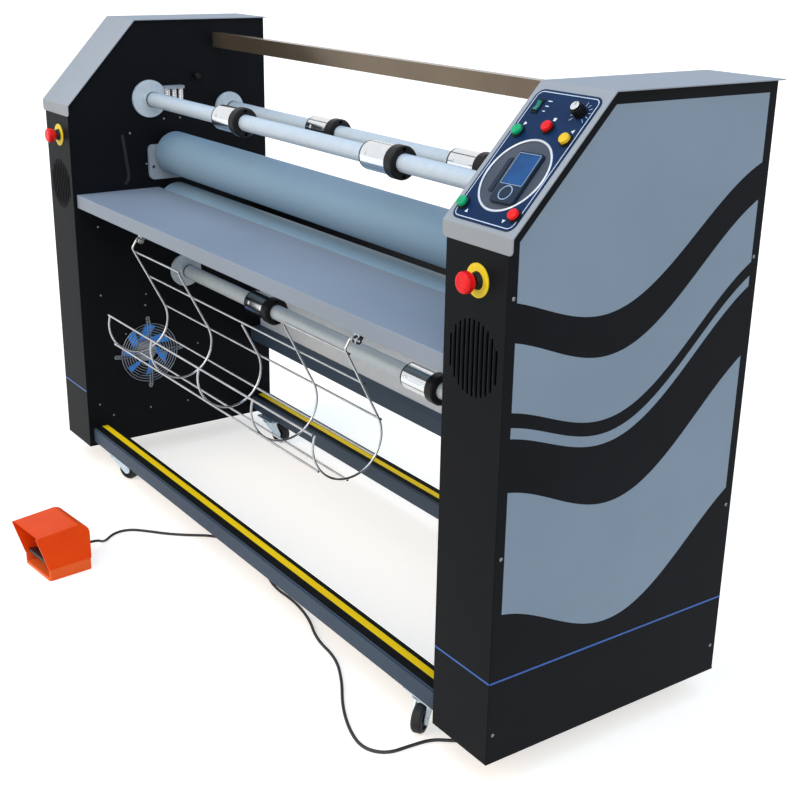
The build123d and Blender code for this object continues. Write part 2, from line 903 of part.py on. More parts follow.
def roller_rubber(z):
    """The silicone sleeve of a laminating roller."""
    ring = Pos(at_y(roller_y), at_z(z)) * (Circle(roller_r) - Circle(roller_r - rubber_t))
    return across(ring, -roller_half, roller_half)


def roller_core(z):
    """A steel tube with a plugged journal at each end."""
    tube_r = roller_r - rubber_t
    ring = Pos(at_y(roller_y), at_z(z)) * (Circle(tube_r) - Circle(tube_r - core_wall))
    tube = across(ring, -roller_half, roller_half)
    plug = turned(
        [
            (roller_half - core_plug_depth, tube_r - core_wall - core_plug_clear),
            (roller_half, tube_r - core_wall - core_plug_clear),
            (roller_half, tube_r),
            (roller_half + core_plug_flange, tube_r),
            (roller_half + core_plug_flange, journal_r),
            (plate_back_x + journal_beyond_plate, journal_r),
        ],
        Pos(0, at_y(roller_y), at_z(z)),
    )
    return Compound(children=[tube.solid(), plug.solid(), mirror(plug, about=Plane.YZ).solid()])


export_step(roller_rubber(top_roller_z), "parts/top_roller_sleeve.step")
export_step(roller_core(top_roller_z), "parts/top_roller_core.step")
export_step(roller_rubber(lower_roller_z), "parts/lower_roller_sleeve.step")
export_step(roller_core(lower_roller_z), "parts/lower_roller_core.step")

# Where the lift rod stands inside each cabinet
rod_x_place = plate_back_x + actuator_size / 2
boss_back_x = rod_x_place + lift_rod_r + boss_edge


def lift_block():
    """The right lift block: rounded bearing plate, boss in the plate's window, and lift rod."""
    y = at_y(roller_y)
    z = at_z(top_roller_z)
    plate = RectangleRounded(2 * block_half_depth, block_down + block_up, block_corner_r)
    plate = Pos(y, z + (block_up - block_down) / 2) * plate
    plate = plate - Pos(y + block_hole_y, z + block_hole_z) * Circle(block_hole_r)
    front = inner_x - block_float - block_t
    body = across(plate, front, inner_x - block_float)
    boss = block(
        inner_x - block_float,
        boss_back_x,
        y - boss_half_depth,
        y + boss_half_depth,
        z - boss_half_height,
        z + boss_half_height,
    )
    bore = rod_x(journal_r + journal_clear, front, boss_back_x, y, z)
    rod_low = z + boss_half_height
    rod_h = upper_travel + actuator_gap + lift_rod_engage
    rod = Pos(rod_x_place, y, rod_low + rod_h / 2) * Cylinder(lift_rod_r, rod_h)
    return body + boss - bore + rod


def lift_actuator():
    """A square lift actuator on the back of the side plate, bored for the lift rod."""
    y = at_y(roller_y)
    low = at_z(top_roller_z) + boss_half_height + upper_travel + actuator_gap
    outline = RectangleRounded(actuator_size, actuator_size, actuator_corner_r)
    case = extrude(Plane(origin=(rod_x_place, y, low)) * outline, amount=actuator_length)
    bore_h = upper_travel + lift_rod_engage + actuator_gap
    bore = Pos(rod_x_place, y, low + bore_h / 2) * Cylinder(lift_rod_r + rod_clear, bore_h)
    return case - bore


export_step(both_sides(lift_block()), "parts/lift_blocks.step")
export_step(both_sides(lift_actuator()), "parts/lift_actuators.step")


def roller_flange():
    """The lower roller's bearing flange on the right side plate."""
    y = at_y(roller_y)
    z = at_z(lower_roller_z)
    step = inner_x - roller_flange_t
    front = step - roller_flange_hub_t
    profile = [
        (front, roller_flange_hub_r),
        (step, roller_flange_hub_r),
        (step, roller_flange_r),
        (inner_x, roller_flange_r),
    ]
    return turned(profile, Pos(0, y, z)) - rod_x(journal_r + journal_clear, front, inner_x, y, z)


def shaft_flange(y, z, radius):
    """The round flange on the right side plate that a film shaft turns in."""
    step = inner_x - flange_t
    hub = step - flange_hub_t
    profile = [(hub, flange_hub_r), (step, flange_hub_r), (step, radius), (inner_x, radius)]
    flange = turned(profile, Pos(0, at_y(y), at_z(z)))
    return flange - rod_x(shaft_journal_r + journal_clear, hub, inner_x, at_y(y), at_z(z))


flanges = [roller_flange()] + [shaft_flange(*place) for place in shaft_places.values()]
flanges = [s for f in flanges for s in both_sides(f).solids()]
export_step(Compound(children=flanges), "parts/bearing_flanges.step")


def film_shaft(y, z):
    """A film shaft: tube, end rings, bright collars and journals in the flanges."""
    end = plate_back_x + shaft_journal_beyond
    collar = inner_x - flange_t - flange_hub_t - shaft_float
    ring = collar - shaft_collar_w
    half = [
        (ring - shaft_ring_w, shaft_tube_r),
        (ring - shaft_ring_w, shaft_ring_r),
        (ring, shaft_ring_r),
        (ring, shaft_collar_r),
        (collar, shaft_collar_r),
        (collar, shaft_journal_r),
        (end, shaft_journal_r),
    ]
    profile = [(-x, r) for x, r in reversed(half)] + half
    return turned(profile, Pos(0, at_y(y), at_z(z)))


def chuck(x, y, z):
    """A core chuck: rim, slotted sleeve and bolted flange disc, bored to slide on its shaft."""
    sleeve = x + chuck_sleeve_length
    end = sleeve + chuck_disc_w
    profile = [
        (x, chuck_rim_r),
        (x + chuck_rim_w, chuck_rim_r),
        (x + chuck_rim_w, chuck_sleeve_r),
        (sleeve, chuck_sleeve_r),
        (sleeve, chuck_disc_r - chuck_edge),
        (sleeve + chuck_edge, chuck_disc_r),
        (end - 2 * chuck_edge, chuck_disc_r),
        (end, chuck_disc_r - 2 * chuck_edge),
    ]
    piece = turned(profile, Pos(0, 0, 0))
    piece = piece - rod_x(shaft_tube_r + chuck_bore_clear, x, end, 0, 0)
    for i in range(2):
        turn = Rot(90 + 180 * i, 0, 0)
        piece = piece - turn * rod_x(chuck_bolt_r, end - chuck_bolt_depth, end, chuck_bolt_pitch_r, 0)
    middle = x + chuck_rim_w + (chuck_sleeve_length - chuck_rim_w) / 2
    for i in range(chuck_slots):
        slot = Box(chuck_slot_length, chuck_slot_w, 2 * chuck_slot_depth)
        slot = Pos(middle, 0, chuck_sleeve_r) * slot
        piece = piece - Rot(chuck_slot_turn + 360 * i / chuck_slots, 0, 0) * slot
    return Pos(0, at_y(y), at_z(z)) * piece


for name, (y, z, _) in shaft_places.items():
    export_step(film_shaft(y, z), f"parts/{name}_film_shaft.step")
    left_x, right_x = chuck_places[name]
    export_step(chuck(left_x, y, z), f"parts/{name}_left_chuck.step")
    export_step(chuck(right_x, y, z), f"parts/{name}_right_chuck.step")


def fan_frame():
    """The fan's square frame behind the left side plate, with its motor seat on four struts."""
    square = RectangleRounded(fan_frame_size, fan_frame_size, fan_frame_corner_r)
    frame = extrude(square - Circle(fan_opening_r), fan_frame_depth)
    seat_z = fan_frame_depth - fan_seat_t / 2
    seat = Pos(0, 0, seat_z) * Cylinder(fan_hub_r, fan_seat_t)
    strut_start = fan_hub_r / 2
    strut_end = fan_opening_r + fan_strut_bite
    strut = Box(strut_end - strut_start, fan_strut_w, fan_seat_t)
    strut = Pos((strut_start + strut_end) / 2, 0, seat_z) * strut
    for i in range(4):
        seat = seat + Rot(0, 0, 45 + 90 * i) * strut
    bore = Pos(0, 0, seat_z) * Cylinder(fan_shaft_r + journal_clear, fan_seat_t)
    return frame + seat - bore


def fan_rotor():
    """A hub and swept, pitched blades; the shaft turns in the frame's motor seat."""
    hub_low = fan_hub_back
    hub_h = fan_frame_depth - fan_seat_t - fan_seat_gap - hub_low
    rotor = Pos(0, 0, hub_low + hub_h / 2) * Cylinder(fan_hub_r, hub_h)
    rotor = fillet(rotor.faces().sort_by(Axis.Z)[0].edges(), fan_hub_edge_r)
    tip = fan_opening_r - fan_blade_tip_clear
    chord = hub_h * fan_chord_share
    root = Pos(fan_hub_r - fan_root_bite, 0, 0) * Rot(0, 90, 0) * Rot(0, 0, fan_blade_turn)
    outer = Pos(tip - fan_tip_inset, 0, 0) * Rot(0, 90, 0) * Rot(0, 0, fan_blade_turn + fan_tip_turn)
    inner_face = root * Rectangle(chord, fan_blade_t)
    outer_face = Rot(0, 0, fan_blade_sweep) * outer * Rectangle(chord * fan_tip_share, fan_blade_t)
    blade = Pos(0, 0, hub_low + hub_h / 2) * loft([inner_face, outer_face], ruled=True)
    for i in range(fan_blades):
        rotor = rotor + Rot(0, 0, 360 * i / fan_blades) * blade
    shaft_z = fan_frame_depth - fan_seat_gap - fan_shaft_length / 2
    return rotor + Pos(0, 0, shaft_z) * Cylinder(fan_shaft_r, fan_shaft_length)


def fan_guard():
    """Concentric wire rings welded on two crossing pairs of bars, with a screw tab at each end."""
    bar_z = -guard_weld_offset
    bar_half = guard_tab_r - guard_tab_w / 2
    guard = Part()
    for turn in (0, 90):
        for y in (-guard_bar_gap / 2, guard_bar_gap / 2):
            bar = Rot(0, 90, 0) * Cylinder(guard_wire_r, 2 * bar_half)
            guard = guard + Rot(0, 0, turn) * Pos(0, y, bar_z) * bar
    step = (guard_last_r - guard_first_r) / (guard_rings - 1)
    for i in range(guard_rings):
        guard = guard + Torus(guard_first_r + i * step, guard_wire_r)
    outline = SlotOverall(2 * guard_tab_w, guard_tab_w)
    outline = outline - Pos(guard_tab_w / 2, 0) * Circle(guard_tab_hole_r)
    for i in range(4):
        tab = extrude(outline, guard_tab_t)
        tab = Pos(guard_tab_r - guard_tab_w / 2, 0, guard_stand_off - guard_tab_t) * tab
        foot = Pos(bar_half - guard_tab_t / 2, 0, (bar_z + guard_stand_off) / 2)
        web = foot * Box(guard_tab_t, guard_tab_w, guard_stand_off - bar_z)
        guard = guard + Rot(0, 0, 90 * i) * (tab + web)
    return guard


def fan_side(height):
    """On the left side plate's inner face at the fan, own z pointing into the cabinet."""
    centre = (-inner_x + height, at_y(fan_y), at_z(fan_z))
    return Plane(origin=centre, x_dir=(0, 1, 0), z_dir=(-1, 0, 0)).location


export_step(fan_side(-side_plate_t) * fan_frame(), "parts/fan_frame.step")
export_step(fan_side(guard_stand_off) * fan_guard(), "parts/fan_guard.step")
export_step(fan_side(-side_plate_t) * fan_rotor(), "parts/fan_rotor.step")


def gearmotor():
    """A hollow-shaft gearbox on the lower roller's right journal, with its ribbed motor."""
    y = at_y(roller_y)
    z = at_z(lower_roller_z)
    x0 = plate_back_x
    outline = RectangleRounded(gearbox_size, gearbox_size, gearbox_edge_r)
    case = across(Pos(y, z) * outline, x0, x0 + gearbox_depth)
    bore = rod_x(journal_r + journal_clear, x0, x0 + gearbox_depth, y, z)
    x_mid = x0 + motor_r
    back = y + gearbox_size / 2
    lying = Pos(x_mid, back, z) * Rot(-90, 0, 0)
    motor = Pos(0, 0, motor_length / 2) * Cylinder(motor_r - motor_rib_depth, motor_length)
    pitch = (motor_length - motor_rib_w) / (motor_ribs - 1)
    for i in range(motor_ribs):
        motor = motor + Pos(0, 0, motor_rib_w / 2 + i * pitch) * Cylinder(motor_r, motor_rib_w)
    return case - bore + lying * motor


export_step(gearmotor(), "parts/drive_gearmotor.step")


def basket_point(z):
    """The leg's depth at height z, on the straight leg that is tangent to the loop."""
    tangent_y, tangent_z = leg_tangent()
    share = (basket_leg_z - z) / (basket_leg_z - tangent_z)
    return basket_leg_y + share * (tangent_y - basket_leg_y)


def leg_tangent():
    """Where a straight leg from its top point touches the round of the basket."""
    dy = basket_loop_y - basket_leg_y
    dz = basket_loop_z - basket_leg_z
    distance = math.hypot(dy, dz)
    reach = math.sqrt(distance**2 - basket_loop_r**2)
    angle = math.atan2(dz, dy) + math.asin(basket_loop_r / distance)
    return basket_leg_y + reach * math.cos(angle), basket_leg_z + reach * math.sin(angle)


def basket_lip_y():
    """The loop's front end, at the lip height."""
    return basket_loop_y - math.sqrt(basket_loop_r**2 - (basket_lip_z - basket_loop_z) ** 2)


def wire(path, start_direction):
    """A round wire swept along a path."""
    section = Plane(origin=path @ 0, z_dir=start_direction) * Circle(basket_wire_r)
    return sweep(section, path=path)


def rib(x, top_z, hooked):
    """One basket rib: an optional hook, a straight leg and the round of the basket."""
    tangent = leg_tangent()
    low = (x, at_y(basket_loop_y), at_z(basket_loop_z - basket_loop_r))
    end = (x, at_y(basket_lip_y()), at_z(basket_lip_z))
    foot = (x, at_y(tangent[0]), at_z(tangent[1]))
    if hooked:
        hook = FilletPolyline(
            (x + basket_hook_reach, at_y(basket_hook_y), at_z(basket_hook_z)),
            (x, at_y(basket_hook_y), at_z(basket_hook_z)),
            (x, at_y(basket_leg_y), at_z(basket_leg_z)),
            foot,
            radius=[basket_hook_r, basket_hook_r],
        )
    else:
        hook = Line((x, at_y(basket_point(top_z)), at_z(top_z)), foot)
    path = Wire(hook.edges() + ThreePointArc(foot, low, end).edges())
    return wire(path, path % 0)


def long_wire(y, z, x0, x1):
    """A straight basket wire along X."""
    return rod_x(basket_wire_r, x0, x1, at_y(y), at_z(z))


def loop_point(angle):
    """A long wire's place round the outside of the loop, angle in degrees from +Y."""
    reach = basket_loop_r + basket_weld_offset
    a = math.radians(angle)
    return basket_loop_y + reach * math.cos(a), basket_loop_z + reach * math.sin(a)


def wire_basket():
    """The welded wire basket that hangs under the feed table."""
    first, second, third, fourth, fifth = basket_rib_x
    pieces = [
        rib(first, basket_leg_z, True),
        rib(second, basket_top_rail_z, False),
        rib(third, basket_mid_rail_z, False),
        rib(fourth, basket_top_rail_z, False),
        rib(fifth, basket_leg_z, True),
    ]
    lean = math.atan2(leg_tangent()[0] - basket_leg_y, basket_leg_z - leg_tangent()[1])
    out_y = basket_weld_offset * math.cos(lean)
    out_z = basket_weld_offset * math.sin(lean)
    top = (basket_point(basket_top_rail_z) + out_y, basket_top_rail_z + out_z)
    mid = (basket_point(basket_mid_rail_z) + out_y, basket_mid_rail_z + out_z)
    pieces.append(long_wire(*top, first, second))
    pieces.append(long_wire(*top, fourth, fifth))
    pieces.append(long_wire(*mid, first, fifth))
    for angle in basket_round_wire_angles:
        pieces.append(long_wire(*loop_point(angle), first, fifth))
    basket = pieces[0]
    for piece in pieces[1:]:
        basket = basket + piece
    return basket


def basket_clip(x):
    """A two-eye clip under the table's lip that a basket hook turns in."""
    y = at_y(basket_hook_y)
    z = at_z(basket_hook_z)
    under = at_z(table_top_z - table_lip)
    strap_end = x + clip_eye_pitch + clip_eye_t
    strap_front = at_y(table_front_y)
    strap_rear = strap_front + 2 * clip_eye_r
    strap_middle = under - clip_strap_t / 2
    ear = make_face(
        Polyline(
            (y, z),
            (y + clip_eye_r, z),
            (strap_rear, strap_middle),
            (strap_front, strap_middle),
            close=True,
        )
    )
    clip = block(x, strap_end, strap_front, strap_rear, under - clip_strap_t, under)
    for eye_x in (x, x + clip_eye_pitch):
        clip = clip + across(Pos(y, z) * Circle(clip_eye_r) + ear, eye_x, eye_x + clip_eye_t)
    return clip - rod_x(basket_wire_r + slide_clear, x, strap_end, y, z)


export_step(wire_basket(), "parts/wire_basket.step")
clip_offset = basket_hook_r + basket_wire_r + clip_side_clear
clips = [basket_clip(x + clip_offset) for x in (basket_rib_x[0], basket_rib_x[-1])]
export_step(Part() + clips, "parts/basket_clips.step")

# Castors, all measured up from the floor
castor_top = at_z(rail_z)
castor_bridge_z = 2 * castor_wheel_r + castor_wheel_clear


def castor_plate():
    """The bolted top plate with its ball race and kingpin."""
    plate = Box(castor_plate_length, castor_plate_width, castor_plate_t)
    plate = Pos(0, 0, castor_top - castor_plate_t / 2) * plate
    plate = fillet(plate.edges().filter_by(Axis.Z), castor_plate_corner_r)
    half_x = castor_plate_length / 2 - castor_plate_hole_inset
    half_y = castor_plate_width / 2 - castor_plate_hole_inset
    for x in (-half_x, half_x):
        for y in (-half_y, half_y):
            plate = plate - Pos(x, y, castor_top) * Cylinder(castor_plate_hole_r, 4 * castor_plate_t)
    race_low = castor_bridge_z + castor_bridge_t + castor_race_gap
    race_h = castor_top - castor_plate_t - race_low
    race = Pos(0, 0, race_low + race_h / 2) * Cylinder(castor_race_r, race_h)
    king_low = castor_bridge_z + castor_king_gap
    king_h = castor_top - castor_plate_t - king_low
    king = Pos(0, 0, king_low + king_h / 2) * Cylinder(castor_king_r, king_h)
    return plate + race + king


def castor_fork():
    """The swivelling fork: pivot disc, two tapered legs and the wheel axle."""
    middle = castor_bridge_z + castor_bridge_t / 2
    fork = Pos(0, 0, middle) * Cylinder(castor_bridge_r, castor_bridge_t)
    inside = castor_wheel_w / 2 + castor_leg_gap
    leg_foot = Pos(castor_trail, castor_wheel_r) * Circle(castor_leg_foot_r)
    leg_top = Pos(0, middle) * Rectangle(castor_leg_top_w, castor_bridge_t)
    outline = make_hull([*leg_foot.edges(), *leg_top.edges()])
    for side in (-1, 1):
        y0 = inside if side > 0 else -inside - castor_leg_t
        leg_plane = Plane(origin=(0, y0 + castor_leg_t, 0), x_dir=(1, 0, 0), z_dir=(0, -1, 0))
        fork = fork + extrude(leg_plane * outline, amount=castor_leg_t)
    axle_length = 2 * (inside + castor_leg_t + castor_axle_proud)
    axle = Pos(castor_trail, 0, castor_wheel_r) * Rot(90, 0, 0) * Cylinder(castor_axle_r, axle_length)
    king_hole = Cylinder(castor_king_r + castor_king_clear, 4 * castor_bridge_t)
    return fork + axle - Pos(0, 0, castor_bridge_z) * king_hole


def castor_wheel():
    """A wheel with a crowned tyre, a recessed web and a hub bored for the axle."""
    half = castor_wheel_w / 2
    r = castor_wheel_r
    one_side = [
        (castor_axle_r + castor_king_clear, half),
        (castor_bore_r, half),
        (castor_bore_r, castor_web_half),
        (castor_rim_inner_r, castor_web_half),
        (castor_rim_outer_r, half),
        (r - castor_tread_drop, half),
        (r, half - castor_tread_edge),
    ]
    other_side = [(radius, -y) for radius, y in reversed(one_side)]
    profile = make_face(Polyline(*one_side, *other_side, close=True))
    return Pos(castor_trail, 0, r) * revolve(profile, axis=Axis.Y)


plates = []
for name, (x, y, turn) in castor_places.items():
    pivot = Pos(x, at_y(y), 0)
    where = pivot * Rot(0, 0, turn)
    plates.append(pivot * castor_plate())
    export_step(where * castor_fork(), f"parts/{name}_castor_fork.step")
    export_step(where * castor_wheel(), f"parts/{name}_castor_wheel.step")
export_step(Part() + plates, "parts/castor_plates.step")

foot_place = Pos(foot_x, at_y(foot_y), 0) * Rot(0, 0, foot_turn)
foot_inner_half = foot_width / 2 - foot_wall


def foot_base():
    """The pedal's tray: floor, side walls and rear wall, open towards the foot."""
    half_w = foot_width / 2
    half_d = foot_depth / 2
    tray = block(-half_w, half_w, -half_d, half_d, 0, foot_base_h)
    tray = fillet(tray.edges().filter_by(Axis.Z), foot_corner_r)
    tray = tray - block(
        -foot_inner_half, foot_inner_half, -foot_depth, half_d - foot_wall, foot_floor_t, foot_base_h
    )
    reach = foot_inner_half + treadle_pin_engage
    pins = rod_x(treadle_pin_r + treadle_pin_clear, -reach, reach, treadle_pivot_v, treadle_pivot_z)
    return foot_place * (tray - pins)


def hood_outline(inset, overrun):
    """The hood in side view, drawn in by inset and run out by overrun past its open front."""
    front = -foot_depth / 2
    rear = foot_depth / 2 - inset
    top_front = (front - foot_hood_reach - overrun, foot_hood_front_h - inset)
    top_rear = (rear, foot_hood_rear_h - inset)
    outline = make_face(
        Polyline(
            (front - overrun, foot_base_h),
            top_front,
            top_rear,
            (rear, foot_base_h),
            close=True,
        )
    )
    corner = outline.vertices().sort_by_distance((*top_rear, 0))[0]
    return fillet([corner], foot_hood_rear_r - inset)


def foot_hood():
    """The guard over the pedal: a rounded shell open towards the foot, with the lead's boss."""
    shell = across(hood_outline(0, 0), -foot_width / 2, foot_width / 2)
    shell = shell - across(hood_outline(foot_wall, foot_depth), -foot_inner_half, foot_inner_half)
    boss = [
        (foot_depth / 2, foot_boss_r),
        (foot_depth / 2 + foot_boss_length - foot_boss_edge, foot_boss_r),
        (foot_depth / 2 + foot_boss_length, foot_boss_r - foot_boss_edge),
    ]
    return foot_place * (shell + turned(boss, Pos(0, 0, foot_boss_z) * Rot(0, 0, 90)))


def foot_treadle():
    """The ribbed treadle on its rear hinge pin, raised at the toe."""
    half = foot_inner_half - treadle_side_clear
    top = treadle_t / 2
    plate = block(-half, half, -treadle_length, treadle_heel, -top, top)
    plate = fillet(plate.edges().filter_by(Axis.Z), treadle_corner_r)
    rib_half = half - treadle_rib_inset
    pitch = treadle_length / (treadle_ribs + 1)
    rib_w = pitch * treadle_rib_share
    for i in range(treadle_ribs):
        y = -treadle_length + (i + 1) * pitch - rib_w
        plate = plate + block(-rib_half, rib_half, y, y + rib_w, top, top + treadle_rib_h)
    pin_half = foot_inner_half + treadle_pin_engage - 2 * treadle_pin_clear
    pin = rod_x(treadle_pin_r, -pin_half, pin_half, 0, 0)
    body = Rot(-treadle_rise, 0, 0) * plate + pin
    return foot_place * Pos(0, treadle_pivot_v, treadle_pivot_z) * body


export_step(foot_base(), "parts/foot_switch_base.step")
export_step(foot_hood(), "parts/foot_switch_hood.step")
export_step(foot_treadle(), "parts/foot_switch_treadle.step")


def cord_points():
    """The lead's route in the part's own frame, from the pedal's boss to the gland."""
    boss_end = foot_place * Pos(0, foot_depth / 2 + foot_boss_length, foot_boss_z)
    first = tuple(boss_end.position)
    return [first] + [(x, at_y(y), z) for x, y, z in cord_route[1:]]


def corner_radii(points):
    """Each corner's radius: a share of the shorter run over the tangent of half the turn."""
    radii = []
    for a, b, c in zip(points, points[1:], points[2:]):
        run_in = Vector(*b) - Vector(*a)
        run_out = Vector(*c) - Vector(*b)
        half_turn = math.radians(run_in.get_angle(run_out)) / 2
        radii.append(cord_corner_share * min(run_in.length, run_out.length) / math.tan(half_turn))
    return radii


route = cord_points()
radii = corner_radii(route)
print("lead radii", [round(r) for r in radii])
cord_path = FilletPolyline(*route, radius=radii)
cord_start = Plane(origin=cord_path @ 0, z_dir=cord_path % 0)
cord = sweep(cord_start * Circle(cord_r), path=cord_path)
cord_length = cord_path.length
print("lead length", round(cord_length))
export_step(cord, "parts/foot_switch_cord.step")


def cord_gland():
    """The tapered strain relief that hangs from the right base plate."""
    x, y, z = route[-1]
    top = at_z(0)
    bore = cord_r + gland_bore_clear
    profile = make_face(
        Polyline(
            (bore, z),
            (cord_r + gland_tip_wall, z),
            (cord_r + gland_root_wall, top - gland_flange_t),
            (gland_flange_r, top - gland_flange_t),
            (gland_flange_r, top),
            (bore, top),
            close=True,
        )
    )
    return Pos(x, y, 0) * revolve(Plane.XZ * profile, axis=Axis.Z)


export_step(cord_gland(), "parts/cord_gland.step")
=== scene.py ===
# %% [markdown]
# # Dressing a wide-format roll laminator
# The machine has two tall sheet-metal cabinets, two rubber-covered rollers and a feed table
# between them, three film shafts, and a foot switch on a lead. Its solids come ready placed,
# so this lesson gives them their finishes and adds what a solid model leaves out: printed
# lines, screws, ribs, a strain relief and a proper cord.

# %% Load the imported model
import math

import bpy
import numpy as np
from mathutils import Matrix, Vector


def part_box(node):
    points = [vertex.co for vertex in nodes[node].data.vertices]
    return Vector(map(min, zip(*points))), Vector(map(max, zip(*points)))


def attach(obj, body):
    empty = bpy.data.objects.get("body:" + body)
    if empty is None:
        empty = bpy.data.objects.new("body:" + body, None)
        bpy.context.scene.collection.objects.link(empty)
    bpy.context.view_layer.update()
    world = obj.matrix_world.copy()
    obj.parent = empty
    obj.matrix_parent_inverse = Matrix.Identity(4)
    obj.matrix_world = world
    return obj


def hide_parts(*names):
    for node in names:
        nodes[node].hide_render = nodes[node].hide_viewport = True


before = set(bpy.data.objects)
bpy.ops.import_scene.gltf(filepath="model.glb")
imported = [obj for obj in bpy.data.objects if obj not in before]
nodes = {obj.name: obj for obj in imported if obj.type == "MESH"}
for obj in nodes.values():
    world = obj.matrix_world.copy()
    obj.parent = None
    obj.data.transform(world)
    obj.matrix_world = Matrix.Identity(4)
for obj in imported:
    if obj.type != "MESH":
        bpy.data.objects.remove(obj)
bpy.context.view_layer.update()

# %% [markdown]
# The camera comes first, because everything is judged from it. It stands to the right of the
# machine, above shoulder height, and looks down and across. A camera's matrix holds its right,
# up and backward directions as columns, so three angles are enough to aim it.

# %% Camera
CAMERA_PLACE = (2.5509, -1.5641, 1.4993)
CAMERA_TURN, CAMERA_DROP, CAMERA_TILT = 0.9528, 0.3470, 0.0180
LENS_MM, SENSOR_MM, FARTHEST = 57.85, 36.0, 60.0


def camera_axes(turn, drop, tilt):
    """Right, up and forward: forward = (-sin t cos d, cos t cos d, -sin d), then rolled by tilt."""
    forward = np.array([
        -math.sin(turn) * math.cos(drop),
        math.cos(turn) * math.cos(drop),
        -math.sin(drop),
    ])
    level = np.array([math.cos(turn), math.sin(turn), 0.0])
    above = np.cross(level, forward)
    right = math.cos(tilt) * level + math.sin(tilt) * above
    up = math.cos(tilt) * above - math.sin(tilt) * level
    return right, up, forward


right, up, forward = camera_axes(CAMERA_TURN, CAMERA_DROP, CAMERA_TILT)
aim = np.eye(4)
aim[:3, 0], aim[:3, 1], aim[:3, 2], aim[:3, 3] = right, up, -forward, CAMERA_PLACE
camera = bpy.data.objects.new("camera", bpy.data.cameras.new("camera"))
bpy.context.scene.collection.objects.link(camera)
camera.matrix_world = aim.T.tolist()
camera.data.lens = LENS_MM
camera.data.sensor_width = SENSOR_MM
camera.data.clip_end = FARTHEST
bpy.context.scene.camera = camera
print("camera at", CAMERA_PLACE)

# %% [markdown]
# The foot switch's lead is 1.7 m of soft 7 mm cable. Real cable never turns a corner, so it is
# drawn as a NURBS spline: the points pull the line towards them and it stays smooth. It leaves
# the right cabinet's base, wanders over the floor under the front rail and climbs into the
# switch's boss. The order is set after the points, or the spline would stay at straight runs.

# %% Foot switch lead
LEAD_ROUTE = [
    (0.8840, -0.2024, 0.0340), (0.8820, -0.2034, 0.0200), (0.8730, -0.2074, 0.0090),
    (0.8540, -0.2194, 0.0036), (0.8300, -0.2494, 0.0036), (0.8240, -0.2954, 0.0036),
    (0.8200, -0.3494, 0.0036), (0.7800, -0.3794, 0.0036), (0.7160, -0.3684, 0.0036),
    (0.6340, -0.3334, 0.0036), (0.5520, -0.2814, 0.0036), (0.4680, -0.2434, 0.0036),
    (0.3760, -0.2374, 0.0036), (0.2900, -0.2034, 0.0036), (0.2000, -0.1894, 0.0036),
    (0.1080, -0.1954, 0.0036), (0.0180, -0.1674, 0.0036), (-0.0720, -0.1494, 0.0036),
    (-0.1580, -0.1574, 0.0036), (-0.2220, -0.1834, 0.0036), (-0.2620, -0.2394, 0.0036),
    (-0.3000, -0.2834, 0.0036), (-0.3410, -0.3174, 0.0036), (-0.3800, -0.3554, 0.0036),
    (-0.3800, -0.3994, 0.0036), (-0.3430, -0.4414, 0.0036), (-0.2997, -0.4764, 0.0380),
    (-0.2961, -0.5152, 0.0380),
]
LEAD_LENGTH, LEAD_WIDTH = 1.711, 0.007
STEPS_ALONG, STEPS_ROUND = 10, 4


def draw_lead(name, route, width):
    """A round NURBS line of order 3 through its first and last points."""
    curve = bpy.data.curves.new(name, "CURVE")
    curve.dimensions = "3D"
    spline = curve.splines.new("NURBS")
    spline.points.add(len(route) - 1)
    weighted = np.c_[np.array(route), np.ones(len(route))]
    spline.points.foreach_set("co", weighted.ravel())
    spline.points.foreach_set("radius", np.full(len(route), width / 2))
    spline.order_u = 3
    spline.use_endpoint_u = True
    spline.resolution_u = STEPS_ALONG
    curve.bevel_depth = 1.0
    curve.bevel_resolution = STEPS_ROUND
    curve.use_fill_caps = True
    lead = bpy.data.objects.new(name, curve)
    bpy.context.scene.collection.objects.link(lead)
    return lead


lead = draw_lead("foot_lead", LEAD_ROUTE, LEAD_WIDTH)
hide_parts("foot_switch_cord")
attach(lead, "frame")
print("lead points", len(LEAD_ROUTE))

# %% [markdown]
# Nearly every added piece is a set of rings joined into a skin: a printed line, a ribbed tread, a
# turned cap or a pressed louvre. One helper joins the rings and closes their ends, and another
# puts the result into a mesh. The skin is welded and its faces turned outwards, so that a pole
# or a seam leaves no gap.

# %% Rings into a piece
WELD = 2e-6


def skin(rings, loop=False):
    """Points and faces of rings (n, m, 3): quads join ring i to i+1 and point j to j+1."""
    rings = np.asarray(rings, float)
    count, around = rings.shape[:2]
    i, j = np.meshgrid(np.arange(count if loop else count - 1), np.arange(around), indexing="ij")
    a, b = (i + 1) % count, (j + 1) % around
    corners = [i * around + j, a * around + j, a * around + b, i * around + b]
    faces = np.stack(corners, -1).reshape(-1, 4).tolist()
    if not loop:
        faces.append(list(range(around)))
        faces.append(list(range((count - 1) * around, count * around)))
    return rings.reshape(-1, 3), faces


def together(parts):
    """Several (points, faces) as one, with each part's face numbers moved past the last."""
    points, faces, start = [], [], 0
    for part_points, part_faces in parts:
        points.append(part_points)
        faces += [[start + v for v in face] for face in part_faces]
        start += len(part_points)
    return np.concatenate(points), faces


